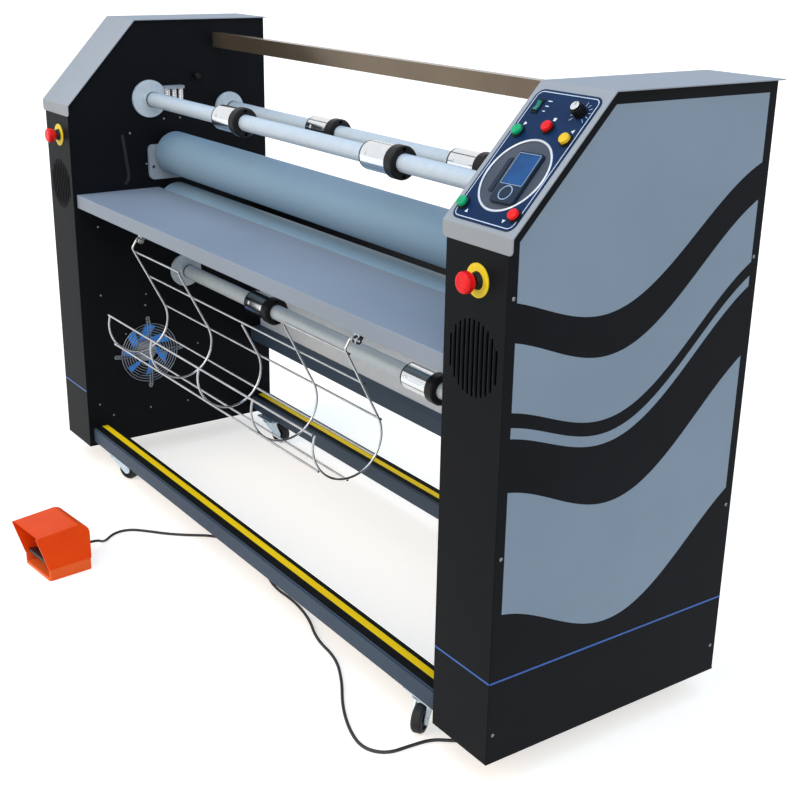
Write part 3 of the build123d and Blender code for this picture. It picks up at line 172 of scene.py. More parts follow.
def add_piece(name, shape, material, body="frame", smooth=35.0):
    """A welded mesh at the origin, its faces turned outwards, riding on one of the bodies."""
    import bmesh

    points, faces = shape
    mesh = bpy.data.meshes.new(name)
    mesh.from_pydata(points.tolist(), [], faces)
    made = bmesh.new()
    made.from_mesh(mesh)
    bmesh.ops.remove_doubles(made, verts=made.verts, dist=WELD)
    bmesh.ops.recalc_face_normals(made, faces=made.faces)
    made.to_mesh(mesh)
    made.free()
    mesh.shade_smooth()
    mesh.set_sharp_from_angle(angle=math.radians(smooth))
    mesh.materials.append(material)
    piece = bpy.data.objects.new(name, mesh)
    bpy.context.scene.collection.objects.link(piece)
    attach(piece, body)
    return piece


# %% [markdown]
# Every surface gets its own node material. The colour drifts a little in broad patches, the
# roughness follows the same drift, and a fine grain gives relief, as paint, rubber and cast
# metal all do. The grain is read from object coordinates, so it stays put when a piece moves.
# One helper makes a node and sets its inputs: a number becomes the input's own value, and the
# output of another node is linked to it.

# %% One painted, moulded or metal surface
RAMP_ENDS = (0.32, 0.68)


def add_node(tree, kind, *placed, **named):
    """A shader node whose inputs and properties are set, by name or in their order."""
    node = tree.nodes.new("ShaderNode" + kind)
    for key, value in [*named.items(), *enumerate(placed)]:
        if isinstance(value, bpy.types.NodeSocket):
            tree.links.new(value, node.inputs[key])
        elif isinstance(key, int) or key in node.inputs:
            node.inputs[key].default_value = value
        else:
            setattr(node, key, value)
    return node


def new_material(name):
    """A node material, its tree and its shader."""
    material = bpy.data.materials.new(name)
    material.use_nodes = True
    return material, material.node_tree, material.node_tree.nodes["Principled BSDF"]


def surface(name, low, high, rough, patch=9.0, grain=1500.0, relief=0.00004, stretch=(1, 1, 1),
            soft_edge=0.0, metal=0.0, shine=0.5):
    """Colour = mix(low, high, noise(patch p)); height = relief * noise(grain p)."""
    material, tree, shader = new_material(name)
    shader.inputs["Metallic"].default_value = metal
    shader.inputs["Specular IOR Level"].default_value = shine
    place = add_node(tree, "TexCoord").outputs["Object"]
    place = add_node(tree, "Mapping", Vector=place, Scale=stretch).outputs["Vector"]
    broad = add_node(tree, "TexNoise", Vector=place, Scale=patch, Detail=4.0,
                     Roughness=0.6)
    fine = add_node(tree, "TexNoise", Vector=place, Scale=grain, Detail=2.0)
    colour = add_node(tree, "ValToRGB", Fac=broad.outputs["Fac"])
    for end, position, shade in zip(colour.color_ramp.elements, RAMP_ENDS, (low, high)):
        end.position, end.color = position, (*shade, 1)
    gloss = add_node(tree, "MapRange", Value=broad.outputs["Fac"],
                     **{"To Min": rough[0], "To Max": rough[1]})
    bump = add_node(tree, "Bump", Strength=1.0, Distance=relief,
                    Height=fine.outputs["Fac"])
    if soft_edge:
        edge = add_node(tree, "Bevel", Radius=soft_edge, samples=4)
        tree.links.new(edge.outputs["Normal"], bump.inputs["Normal"])
    tree.links.new(colour.outputs["Color"], shader.inputs["Base Color"])
    tree.links.new(gloss.outputs["Result"], shader.inputs["Roughness"])
    tree.links.new(bump.outputs["Normal"], shader.inputs["Normal"])
    return material


def dress(material, *names):
    """Gives solids their finish without touching their meshes."""
    for name in names:
        data = nodes[name].data
        data.materials.clear()
        data.materials.append(material)


def finish(solids, *look, **more):
    """Dresses solids in one surface of their own."""
    dress(surface(*look, **more), *solids)


# %% [markdown]
# The cabinets are powder-coated sheet: black bodies and a pale grey folded cap, beside a feed
# table of a bluer grey. Powder coat has a fine orange-peel relief and soft, broad highlights, so
# its roughness sits near the middle. A bevel node rounds each sheet edge a little, and the folds
# catch the light as the real ones do. The top beam is bronze anodised, so it shines more.

# %% Painted sheet metal
black_coat = surface(
    "black_powder_coat", (0.0052, 0.0058, 0.0068), (0.0075, 0.0083, 0.0098), (0.42, 0.52),
    patch=3.0, grain=1400.0, relief=0.00003, soft_edge=0.0012, shine=0.05)
finish(["cabinet_caps"],
       "pale_powder_coat", (0.330, 0.336, 0.342), (0.370, 0.376, 0.382), (0.46, 0.56),
       patch=2.5, grain=1400.0, relief=0.00003, soft_edge=0.0012, shine=0.06)
finish(["feed_table"],
       "table_powder_coat", (0.252, 0.278, 0.318), (0.288, 0.316, 0.360), (0.40, 0.50),
       patch=2.0, grain=1300.0, relief=0.00003, soft_edge=0.0010, shine=0.15)
finish(["rear_beam", "floor_rails"],
       "rail_powder_coat", (0.038, 0.056, 0.084), (0.052, 0.074, 0.106), (0.42, 0.52),
       patch=4.0, grain=1300.0, soft_edge=0.0010, shine=0.12)
finish(["top_beam"],
       "bronze_beam_anodising", (0.140, 0.102, 0.068), (0.185, 0.138, 0.094), (0.16, 0.24),
       patch=3.0, grain=1300.0, relief=0.00001, soft_edge=0.0010, metal=0.6, shine=0.4)
dress(black_coat, "left_side_plate", "right_side_plate", "left_cover", "right_cover", "base_plates")
print("finishes", len(bpy.data.materials))

# %% [markdown]
# The metal parts differ mostly in how they were finished. The basket is bright chrome, the
# castors are dull zinc, the journals are machined steel, and the round wall flanges and the lift
# blocks are cast and painted grey. The two rollers wear a blue-grey silicone sleeve. Its noise is
# stretched along the roller, so that it shows faint lines instead of dots.

# %% Metals and the rollers' rubber
finish(["bearing_flanges"],
       "cast_flange_paint", (0.54, 0.58, 0.59), (0.64, 0.68, 0.69), (0.42, 0.52),
       patch=30.0, grain=700.0, relief=0.00005, soft_edge=0.0008, shine=0.3)
block_paint = surface(
    "bearing_block_paint", (0.30, 0.32, 0.34), (0.38, 0.40, 0.42), (0.38, 0.48),
    patch=25.0, grain=700.0, soft_edge=0.0008, shine=0.3)
chrome = surface(
    "bright_chrome", (0.50, 0.51, 0.53), (0.62, 0.63, 0.65), (0.08, 0.14),
    patch=40.0, grain=300.0, relief=0.00001, metal=1.0)
finish(["wire_basket"],
       "basket_chrome", (0.40, 0.41, 0.43), (0.56, 0.57, 0.59), (0.16, 0.24),
       patch=25.0, grain=500.0, relief=0.00001, metal=1.0)
finish(["fan_guard"],
       "fan_guard_wire", (0.17, 0.19, 0.22), (0.27, 0.30, 0.34), (0.24, 0.34),
       patch=25.0, grain=500.0, relief=0.00001, metal=0.9)
finish(["castor_plates", *[n for n in nodes if n.endswith("castor_fork")]],
       "castor_zinc", (0.47, 0.58, 0.66), (0.60, 0.71, 0.79), (0.26, 0.40),
       patch=60.0, grain=900.0, metal=0.7, soft_edge=0.0005)
machined_steel = surface(
    "machined_journal_steel", (0.40, 0.41, 0.43), (0.52, 0.53, 0.55), (0.24, 0.32),
    patch=30.0, grain=900.0, metal=1.0)
finish(["top_roller_sleeve", "lower_roller_sleeve"],
       "roller_silicone", (0.188, 0.275, 0.345), (0.218, 0.308, 0.380), (0.46, 0.56),
       patch=5.0, grain=700.0, relief=0.00003, stretch=(0.3, 1, 1), shine=0.2)
dress(block_paint, "lift_blocks")
dress(machined_steel, "basket_clips", "top_roller_core", "lower_roller_core", "lift_actuators")
print("finishes", len(bpy.data.materials))

# %% [markdown]
# The plastics are glossier and cleaner than the paint. The control overlay is navy film, the
# push buttons are bright moulded caps in black collars, and the foot switch is orange enamel
# over a slightly lighter base.

# %% Plastics, rubber and enamel
finish(["control_fascia"],
       "control_overlay_film", (0.004, 0.020, 0.066), (0.007, 0.029, 0.084), (0.30, 0.38),
       patch=8.0, grain=1800.0, relief=0.00001, shine=0.08)
case_plastic = surface(
    "display_case_plastic", (0.010, 0.020, 0.038), (0.016, 0.030, 0.054), (0.34, 0.42),
    patch=30.0, grain=1800.0, soft_edge=0.0006, shine=0.15)
switch_black = surface(
    "switch_black_plastic", (0.006, 0.006, 0.007), (0.012, 0.012, 0.014), (0.30, 0.40),
    patch=60.0, soft_edge=0.0004, shine=0.12)
finish(["forward_button", "roller_up_button"],
       "green_button_plastic", (0.000, 0.300, 0.115), (0.004, 0.420, 0.175), (0.24, 0.32),
       patch=80.0, shine=0.25)
finish(["rocker_switch"],
       "teal_rocker_plastic", (0.000, 0.170, 0.130), (0.004, 0.235, 0.180), (0.26, 0.34),
       patch=80.0, shine=0.25)
finish(["stop_button", "roller_down_button", "left_estop_button", "right_estop_button"],
       "red_button_plastic", (0.760, 0.006, 0.008), (0.900, 0.012, 0.012), (0.24, 0.32),
       patch=80.0, shine=0.2)
finish(["reverse_button"],
       "yellow_button_plastic", (0.800, 0.450, 0.010), (0.930, 0.580, 0.030), (0.24, 0.32),
       patch=80.0, shine=0.25)
finish(["fan_frame"],
       "fan_frame_plastic", (0.008, 0.009, 0.011), (0.014, 0.015, 0.018), (0.40, 0.50),
       patch=30.0, grain=1200.0, shine=0.2)
finish([n for n in nodes if n.endswith("castor_wheel")],
       "castor_tyre_rubber", (0.010, 0.010, 0.011), (0.020, 0.020, 0.022), (0.50, 0.62),
       patch=50.0, grain=1200.0, relief=0.00006, shine=0.25)
finish(["foot_switch_hood"],
       "foot_switch_orange", (0.950, 0.062, 0.001), (0.995, 0.078, 0.002), (0.30, 0.38),
       patch=14.0, grain=1100.0, relief=0.00003, soft_edge=0.0010, shine=0.12)
finish(["foot_switch_base"],
       "foot_base_orange", (0.940, 0.120, 0.018), (0.995, 0.150, 0.030), (0.30, 0.38),
       patch=14.0, grain=1100.0, soft_edge=0.0010, shine=0.12)
finish(["foot_switch_treadle"],
       "treadle_rubber", (0.018, 0.012, 0.010), (0.034, 0.022, 0.018), (0.52, 0.64),
       patch=50.0, grain=1200.0, relief=0.00006)
finish(["drive_gearmotor"],
       "gearmotor_paint", (0.040, 0.052, 0.065), (0.060, 0.074, 0.090), (0.40, 0.50),
       patch=20.0, grain=900.0, soft_edge=0.0006)
dress(case_plastic, "display_unit")
dress(switch_black, "switch_bezels", "speed_knob")
print("finishes", len(bpy.data.materials))

# %% [markdown]
# Some solids carry two finishes side by side: a chuck is chrome with a black rim and flange, a
# film shaft is satin between chrome collars, an emergency stop has a black collar in front of its
# yellow plate, and the fan has blue blades on a silver hub. The change lies at a fixed place along
# an axis or at a fixed distance from one, so the object coordinate is compared with it, and
# colour, metal, roughness and glow follow the answer. Only the blades glow, and that glow is
# painted
# light: they stand in the shade of their guard, and it makes them look bright there all the same.

# %% Where one finish ends and the other begins
def compute(tree, operation, *values):
    """The result of one sum or comparison of sockets and numbers."""
    return add_node(tree, "Math", *values, operation=operation).outputs[0]


def between(axis, low, high):
    """Inside where low < p[axis] < high."""
    def inside(tree, place):
        along = add_node(tree, "SeparateXYZ", place).outputs[axis]
        above = compute(tree, "GREATER_THAN", along, low)
        below = compute(tree, "LESS_THAN", along, high)
        return compute(tree, "MULTIPLY", above, below)
    return inside


def beyond(axis, distance):
    """Inside where abs(p[axis]) > distance."""
    def inside(tree, place):
        along = add_node(tree, "SeparateXYZ", place).outputs[axis]
        return compute(tree, "GREATER_THAN", compute(tree, "ABSOLUTE", along), distance)
    return inside


def near_line_along_x(y, z, radius):
    """Inside where sqrt((p.y - y)^2 + (p.z - z)^2) < radius."""
    def inside(tree, place):
        flat = add_node(tree, "Mapping", place, Scale=(0, 1, 1), Location=(0, -y, -z))
        reach = add_node(tree, "VectorMath", flat.outputs["Vector"], operation="LENGTH")
        return compute(tree, "LESS_THAN", reach.outputs["Value"], radius)
    return inside


# %% Two finishes on one solid
SPECK_SCALE, SPECK_SHADE, SPLIT_SHINE = 60.0, 0.85, 0.2


def two_finishes(name, inside, inner, outer):
    """Finish = inner where inside(p) is 1 and outer where it is 0, each with a fine speckle."""
    material, tree, shader = new_material(name)
    shader.inputs["Specular IOR Level"].default_value = SPLIT_SHINE
    place = add_node(tree, "TexCoord").outputs["Object"]
    speck = add_node(tree, "TexNoise", Vector=place, Scale=SPECK_SCALE, Detail=3.0)
    choice = inside(tree, place)
    colour = add_node(tree, "Mix", choice, data_type="RGBA")
    for side, socket in ((outer, 6), (inner, 7)):
        shade = add_node(tree, "ValToRGB", Fac=speck.outputs["Fac"])
        for end, share in zip(shade.color_ramp.elements, (SPECK_SHADE, 1.0)):
            end.color = (*[share * c for c in side["colour"]], 1)
        tree.links.new(shade.outputs["Color"], colour.inputs[socket])
    for socket in ("Base Color", "Emission Color"):
        tree.links.new(colour.outputs[2], shader.inputs[socket])
    for key, socket in (("metal", "Metallic"), ("rough", "Roughness"),
                        ("glow", "Emission Strength")):
        mix = add_node(tree, "Mix", choice, data_type="FLOAT")
        mix.inputs[2].default_value = outer.get(key, 0.0)
        mix.inputs[3].default_value = inner.get(key, 0.0)
        tree.links.new(mix.outputs[0], shader.inputs[socket])
    return material


# %% Chucks, shafts, stop bases, apron and fan
CHROME = {"colour": (0.84, 0.87, 0.90), "metal": 1.0, "rough": 0.12}
SATIN = {"colour": (0.60, 0.66, 0.70), "metal": 0.12, "rough": 0.36}
BLACK = {"colour": (0.007, 0.007, 0.008), "metal": 0.0, "rough": 0.38}
YELLOW = {"colour": (0.98, 0.70, 0.025), "metal": 0.0, "rough": 0.34}
HUB_SILVER = {"colour": (0.52, 0.56, 0.62), "metal": 0.2, "rough": 0.34}
# The blades' glow is painted light: they are no lamp.
BLADE_BLUE_PAINTED_GLOW = {"colour": (0.004, 0.270, 0.900), "metal": 0.0, "rough": 0.30, "glow": 0.45}
APRON_PALE = {"colour": (0.84, 0.85, 0.86), "metal": 0.0, "rough": 0.44}
SHAFTS, SIDES = ("front", "rear", "lower"), ((-1, "left"), (1, "right"))
CHUCK_RIM, CHUCK_FLANGE, COLLAR_START = 0.005, 0.026, 0.8235
STOP_PLATE_T, HUB_R, APRON_SHADE_Z, FAR_OFF = 0.0021, 0.0335, 0.698, 1.0
for shaft in SHAFTS:
    for _, side in SIDES:
        name = f"{shaft}_{side}_chuck"
        low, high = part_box(name)
        sleeve = between(0, low.x + CHUCK_RIM, high.x - CHUCK_FLANGE)
        dress(two_finishes(name + "_finish", sleeve, CHROME, BLACK), name)
front_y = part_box("right_cover")[0].y
plate = between(1, front_y - STOP_PLATE_T, front_y + FAR_OFF)
dress(two_finishes("stop_base_finish", plate, YELLOW, BLACK), "estop_bases")
fan_low, fan_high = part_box("fan_guard")
hub = near_line_along_x((fan_low.y + fan_high.y) / 2, (fan_low.z + fan_high.z) / 2, HUB_R)
dress(two_finishes("fan_rotor_finish", hub, HUB_SILVER, BLADE_BLUE_PAINTED_GLOW), "fan_rotor")
for shaft in SHAFTS:
    name = f"{shaft}_film_shaft"
    dress(two_finishes(name + "_finish", beyond(0, COLLAR_START), CHROME, SATIN), name)
# The apron's top band is black: painted shade, where the gap behind the rollers lies in shadow.
apron_painted_shade = between(2, APRON_SHADE_Z, FAR_OFF)
dress(two_finishes("apron_finish", apron_painted_shade, BLACK, APRON_PALE), "rear_apron")
split = [name for name in bpy.data.materials.keys() if name.endswith("_finish")]
print("solids with two finishes", len(split))

# %% [markdown]
# The lead needs its finish now that the surfaces are known, and its strain relief. A moulded
# relief tapers from the wall and is cut by rings that let it bend, so its profile is a taper
# with four grooves, turned about the lead's own upright line.

# %% Lead finish and strain relief
cord_jacket = surface(
    "lead_jacket", (0.008, 0.008, 0.009), (0.018, 0.018, 0.020), (0.42, 0.54),
    patch=60.0, relief=0.00003)
lead.data.materials.append(cord_jacket)


def turned(profile, origin, along, sides=40):
    """P(s, t) = origin + a(s) along + r(s) (cos t e1 + sin t e2); profile rows are (a, r)."""
    along = np.asarray(along, float) / np.linalg.norm(along)
    aside = np.cross(along, [0.0, 0.0, 1.0] if abs(along[2]) < 0.9 else [1.0, 0.0, 0.0])
    aside /= np.linalg.norm(aside)
    other = np.cross(along, aside)
    t = np.arange(sides) * 2 * math.pi / sides
    a, r = np.asarray(profile, float).T
    circle = np.cos(t)[:, None] * aside + np.sin(t)[:, None] * other
    return skin(np.asarray(origin) + a[:, None, None] * along + r[:, None, None] * circle)


RELIEF_ROOT_R, RELIEF_TIP_R, RELIEF_GROOVES, GROOVE_DEPTH = 0.0070, 0.0053, 4, 0.0009
RELIEF_FLANGE_W, RELIEF_FLANGE_T = 0.004, 0.003


def relief_profile(length, root, tip, grooves):
    """A taper from root to tip whose radius drops by the groove depth in each groove."""
    s = np.linspace(0, 1, grooves * 8 + 1)
    in_groove = np.sin(s * grooves * 2 * math.pi) > 0.3
    radius = root + (tip - root) * s - GROOVE_DEPTH * in_groove
    taper = np.stack([RELIEF_FLANGE_T + (length - RELIEF_FLANGE_T) * s, radius], 1)
    flange = [(0.0, root + RELIEF_FLANGE_W), (RELIEF_FLANGE_T, root + RELIEF_FLANGE_W)]
    return np.concatenate([flange, taper])


gland_low, gland_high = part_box("cord_gland")
relief_top = ((gland_low.x + gland_high.x) / 2, (gland_low.y + gland_high.y) / 2, gland_high.z)
relief_length = gland_high.z - gland_low.z
profile = relief_profile(relief_length, RELIEF_ROOT_R, RELIEF_TIP_R, RELIEF_GROOVES)
relief = add_piece("lead_strain_relief", turned(profile, relief_top, (0, 0, -1)), cord_jacket)
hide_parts("cord_gland")
print("strain relief", round(relief_length, 4))

# %% [markdown]
# Where each film shaft meets its chrome collar it wears a black ring. It is a narrow tube with
# rounded edges, turned on the shaft's own centre line, so that it spins with the shaft.

# %% Black rings on the film shafts
RING_R, RING_W = 0.0208, 0.005
RING_SINK, RING_STEP, RING_LIFT = 0.0006, 0.0001, 0.0004
ring_profile = [
    (0.0, RING_R - RING_SINK), (0.0, RING_R + RING_STEP), (RING_LIFT, RING_R + RING_LIFT),
    (RING_W - RING_LIFT, RING_R + RING_LIFT), (RING_W, RING_R + RING_STEP),
    (RING_W, RING_R - RING_SINK),
]
for shaft in SHAFTS:
    low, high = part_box(f"{shaft}_film_shaft")
    middle_y, middle_z = (low.y + high.y) / 2, (low.z + high.z) / 2
    rings = [turned(ring_profile, (side * COLLAR_START, middle_y, middle_z), (-side, 0, 0), 48)
             for side, _ in SIDES]
    add_piece(f"{shaft}_shaft_rings", together(rings), switch_black, body=f"{shaft}_shaft")
print("shaft rings", len(SIDES) * len(SHAFTS))

# %% [markdown]
# The outside panels carry broad rising waves in pale vinyl on the black paint, inside a black
# margin. Each wave is a band between two curves, so for every place across the panel it needs
# only a lower and an upper height. The band is a quarter of a millimetre thick and stops at the
# margin and under the sloping cap.

# %% Vinyl waves on the outside panels
outer_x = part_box("right_cover")[1].x
inner_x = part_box("right_side_plate")[0].x
rear_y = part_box("right_cover")[1].y
base_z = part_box("base_plates")[0].z
MARGIN, VINYL = 0.021, 0.00025
SLOPE_RISE, SLOPE_RUN = 0.218, 0.2035
SLOPE = math.atan2(SLOPE_RISE, SLOPE_RUN)
FOLD_Z, TOP_Z = base_z + 0.990, base_z + 1.208
vinyl_grey = surface(
    "pale_panel_vinyl", (0.222, 0.270, 0.314), (0.254, 0.304, 0.350), (0.40, 0.50),
    patch=2.0, relief=0.00001, shine=0.12)
stripe_blue = surface(
    "blue_pinstripe_vinyl", (0.003, 0.070, 0.300), (0.006, 0.095, 0.380), (0.32, 0.40),
    patch=8.0, relief=0.00001)


def panel_limit(y):
    """The highest point of a band at y: under the slope near the front, under the top behind."""
    under_slope = FOLD_Z + (y - front_y) * math.tan(SLOPE) - MARGIN / math.cos(SLOPE)
    return np.minimum(under_slope, TOP_Z - MARGIN)


def wave(height, rise, swell, turns, start, u):
    """height + rise u + swell sin(2 pi turns u + start), above the cabinet's base."""
    return base_z + height + rise * u + swell * np.sin(2 * math.pi * turns * u + start)


def upright_band(low, high, y, side):
    """A thin closed slab between two height curves on a cabinet's outside panel."""
    high = np.minimum(high, panel_limit(y))
    low = np.minimum(low, high)
    x = side * np.array([outer_x, outer_x + VINYL, outer_x + VINYL, outer_x])
    rings = np.empty((len(y), 4, 3))
    rings[:, :, 0] = x
    rings[:, :, 1] = y[:, None]
    rings[:, :, 2] = np.stack([low, low, high, high], 1)
    return skin(rings)


across_panel = np.linspace(front_y + MARGIN, rear_y - MARGIN, 181)
u = (across_panel - across_panel[0]) / (across_panel[-1] - across_panel[0])
WAVES = [  # a lower and an upper curve each: height, rise, swell, turns, start
    ((0.845, 0.150, 0.070, 0.80, 2.60), (1.190, 0.300, 0.000, 1.00, 0.0)),
    ((0.640, 0.170, 0.075, 0.80, 2.40), (0.765, 0.160, 0.075, 0.80, 2.45)),
    ((0.592, 0.172, 0.075, 0.80, 2.38), (0.612, 0.172, 0.075, 0.80, 2.38)),
    ((0.240, 0.120, 0.080, 0.80, 2.10), (0.480, 0.150, 0.080, 0.80, 2.20)),
]
for side, word in SIDES:
    bands = [upright_band(wave(*low, u), wave(*high, u), across_panel, side)
             for low, high in WAVES]
    add_piece(f"{word}_panel_waves", together(bands), vinyl_grey)
print("waves a side", len(WAVES))

# %% [markdown]
# A thin blue line runs round the foot of each cabinet, across its front and its outside panel.
# It is one strip bent round the corner.

# %% Pinstripe
STRIPE_Z, STRIPE_HALF = base_z + 0.172, 0.0019
CORNER, CORNER_LEAN, STRIPE_START, STRIPE_STOP = 0.0016, 0.35, 0.0005, 0.004


def stripe(side):
    """Ring i is the strip's four section corners at path point i, carried round one corner."""
    path = np.array([
        (inner_x + STRIPE_START, front_y), (outer_x - CORNER, front_y),
        (outer_x, front_y + CORNER), (outer_x, rear_y - STRIPE_STOP),
    ])
    out = VINYL * np.array([(0, -1), (CORNER_LEAN, -1), (1, -CORNER_LEAN), (1, 0)])
    rings = np.empty((4, 4, 3))
    for k, (push, z) in enumerate(((0, -1), (1, -1), (1, 1), (0, 1))):
        rings[:, k, :2] = path + push * out
        rings[:, k, 2] = STRIPE_Z + z * STRIPE_HALF
    rings[:, :, 0] *= side
    return skin(rings)


for side, word in SIDES:
    add_piece(f"{word}_pinstripe", stripe(side), stripe_blue)
print("stripe height", round(STRIPE_Z, 4))

# %% [markdown]
# The control panel lies on the slope of the right cap. Its printed border, its silver window
# ring and its dial marks are all given in the panel's own directions: across, up the slope, and
# out of it. One helper turns such a place into a point of the machine.

# %% Places on the control panel
PANEL_X = (inner_x + outer_x) / 2
PANEL_ACROSS = np.array([1.0, 0.0, 0.0])
PANEL_UP = np.array([0.0, math.cos(SLOPE), math.sin(SLOPE)])
PANEL_OUT = np.array([0.0, -math.sin(SLOPE), math.cos(SLOPE)])
CAP_T, OVERLAY_T, INK = 0.002, 0.0015, 0.0002
PANEL_ORIGIN = np.array([PANEL_X, front_y, FOLD_Z]) + CAP_T * PANEL_OUT


def on_panel(x, s, h):
    """origin + x across + s up the slope + h outwards, for arrays of any matching shape."""
    x, s, h = (a[..., None] for a in np.broadcast_arrays(x, s, h))
    return PANEL_ORIGIN + x * PANEL_ACROSS + s * PANEL_UP + h * PANEL_OUT


def moved(x, y, centre, turn):
    """(x, y) turned about the origin and moved to centre, for arrays or single numbers."""
    c, s = math.cos(turn), math.sin(turn)
    return centre[0] + x * c - y * s, centre[1] + x * s + y * c


def unit_circle(count, start=0.0):
    """(cos t, sin t) at count even angles from start."""
    t = start + np.arange(count) * 2 * math.pi / count
    return np.stack([np.cos(t), np.sin(t)], 1)


def round_rectangle(width, height, radius, steps=10):
    """Corner arcs of the given radius joined by straight sides, anticlockwise."""
    turn = np.linspace(0, math.pi / 2, steps)
    corners = []
    for k, (sx, sy) in enumerate(((1, 1), (-1, 1), (-1, -1), (1, -1))):
        angle = turn + k * math.pi / 2
        centre = np.array([sx * (width / 2 - radius), sy * (height / 2 - radius)])
        corners.append(centre + radius * np.stack([np.cos(angle), np.sin(angle)], 1))
    return np.concatenate(corners)


def printed_loop(outline_in, outline_out, centre, low, high, turn=0.0):
    """A flat closed line between two outlines, low to high above the panel."""
    sides = ((outline_in, low), (outline_in, high), (outline_out, high), (outline_out, low))
    rings = [on_panel(*moved(*outline.T, centre, turn), h) for outline, h in sides]
    return skin(np.stack(rings, 1), loop=True)


def printed_patch(outline, centre, low, high, turn=0.0):
    """A flat filled patch: its outline at two heights, joined and closed."""
    x, y = moved(*outline.T, centre, turn)
    return skin(np.stack([on_panel(x, y, low), on_panel(x, y, high)]))


# %% [markdown]
# The overlay's border is a pale line a few millimetres in from its edge. The oval window has a
# thick silver ring round it and plain grey behind, where the display unit sits.

# %% Overlay border, window ring and backing
OVERLAY_SIZE, OVERLAY_CORNER, OVERLAY_MIDDLE = (0.160, 0.273), 0.017, (0.0, 0.1445)
BORDER_INSETS = (0.0058, 0.0042)
WINDOW, WINDOW_HALF = (0.002, 0.109), (0.068, 0.0715)
WINDOW_GAP, BACKING_T = 0.0002, 0.0005
RING_MIDDLE, RING_HALF, RING_RISE = 0.0006, 0.0022, 0.0016
pale_ink = surface(
    "pale_overlay_ink", (0.56, 0.62, 0.70), (0.66, 0.71, 0.78), (0.36, 0.44),
    patch=30.0, relief=0.00001)
silver_ring = surface(
    "window_ring_silver", (0.56, 0.58, 0.62), (0.70, 0.72, 0.76), (0.26, 0.34),
    patch=20.0, grain=900.0, metal=0.35)
backing_grey = surface(
    "window_backing_grey", (0.064, 0.073, 0.092), (0.080, 0.090, 0.112), (0.42, 0.50),
    patch=12.0, shine=0.12)


def inset_rectangle(inset):
    """The overlay's outline drawn in by inset."""
    width, height = OVERLAY_SIZE
    return round_rectangle(width - 2 * inset, height - 2 * inset, OVERLAY_CORNER - inset)


border = printed_loop(*[inset_rectangle(inset) for inset in BORDER_INSETS], OVERLAY_MIDDLE,
                      OVERLAY_T, OVERLAY_T + INK)
add_piece("overlay_border", border, pale_ink)


def oval(grow):
    """The window's ellipse with both half axes longer by grow."""
    return (np.array(WINDOW_HALF) + grow) * unit_circle(96)


backing = printed_patch(oval(-WINDOW_GAP), WINDOW, 0.0, BACKING_T)
add_piece("window_backing", backing, backing_grey)
q = np.linspace(0, math.pi, 9)
ring_rows = [on_panel(*(WINDOW + oval(grow)).T, high)
             for grow, high in zip(RING_MIDDLE + RING_HALF * np.cos(q),
                                   OVERLAY_T + RING_RISE * np.sin(q))]
add_piece("window_ring", skin(np.stack(ring_rows, 1), loop=True), silver_ring, smooth=60.0)
print("window", WINDOW_HALF)

# %% [markdown]
# The display unit is a dark hand-held case with a blue screen under glass, a pale line round
# the screen, and a round touch ring below. Its glass is not one even colour, so the material
# drifts between two blues in broad patches. A dark patch at the case's left is a painted shadow.

# %% Display screen, frame line and touch ring
DISPLAY, DISPLAY_TURN, DISPLAY_T = (0.015, 0.103), math.radians(2.0), 0.008
SCREEN_UP, PAD_DOWN = 0.0155, 0.032
GLASS_LOW, GLASS_HIGH = DISPLAY_T - 0.0009, DISPLAY_T - 0.0003
SHADOW_LOW, SHADOW_HIGH = 0.0004, 0.0024
GLASS = (0.0496, 0.0596, 0.001)  # width, height, corner
LINE_IN, LINE_OUT = (0.0512, 0.0612, 0.0015), (0.0530, 0.0630, 0.0024)
PAD_R_IN, PAD_R_OUT = 0.0127, 0.0143


def on_display(x, y):
    """A place on the display's face as a place on the panel."""
    return moved(x, y, DISPLAY, DISPLAY_TURN)


screen_blue = surface(
    "screen_blue_glass", (0.002, 0.036, 0.130), (0.006, 0.080, 0.235), (0.12, 0.18),
    patch=14.0, grain=600.0, relief=0.000002, shine=0.2)
screen = printed_patch(round_rectangle(*GLASS), on_display(0, SCREEN_UP), GLASS_LOW, GLASS_HIGH,
                       DISPLAY_TURN)
add_piece("display_screen", screen, screen_blue)
line_ink = surface(
    "display_line_ink", (0.30, 0.42, 0.58), (0.40, 0.52, 0.68), (0.34, 0.42),
    patch=40.0, relief=0.00001)
frame_line = printed_loop(round_rectangle(*LINE_IN), round_rectangle(*LINE_OUT),
                          on_display(0, SCREEN_UP), DISPLAY_T - INK, DISPLAY_T + INK, DISPLAY_TURN)
pad_line = printed_loop(PAD_R_IN * unit_circle(48), PAD_R_OUT * unit_circle(48),
                        on_display(0, -PAD_DOWN), GLASS_LOW, DISPLAY_T + INK)
add_piece("display_lines", together([frame_line, pad_line]), line_ink)
# A dark patch at the display's left: painted shadow of the case.
shadow_outline = np.array([(-0.0365, 0.1366), (-0.0341, 0.0708), (-0.0238, 0.0693), (-0.0276, 0.1401)])
shadow_patch = printed_patch(shadow_outline, (0.0, 0.0), SHADOW_LOW, SHADOW_HIGH)
add_piece("display_painted_shadow", shadow_patch, case_plastic)
print("display face at", round(DISPLAY_T, 4))

# %% [markdown]
# Round the speed knob the overlay is printed with dial marks, and each button has a small plain
# symbol: triangles for the directions and a square for stop. The knob itself has a silver cap
# with one dark pointer line. The ink stands two tenths of a millimetre proud of the overlay.

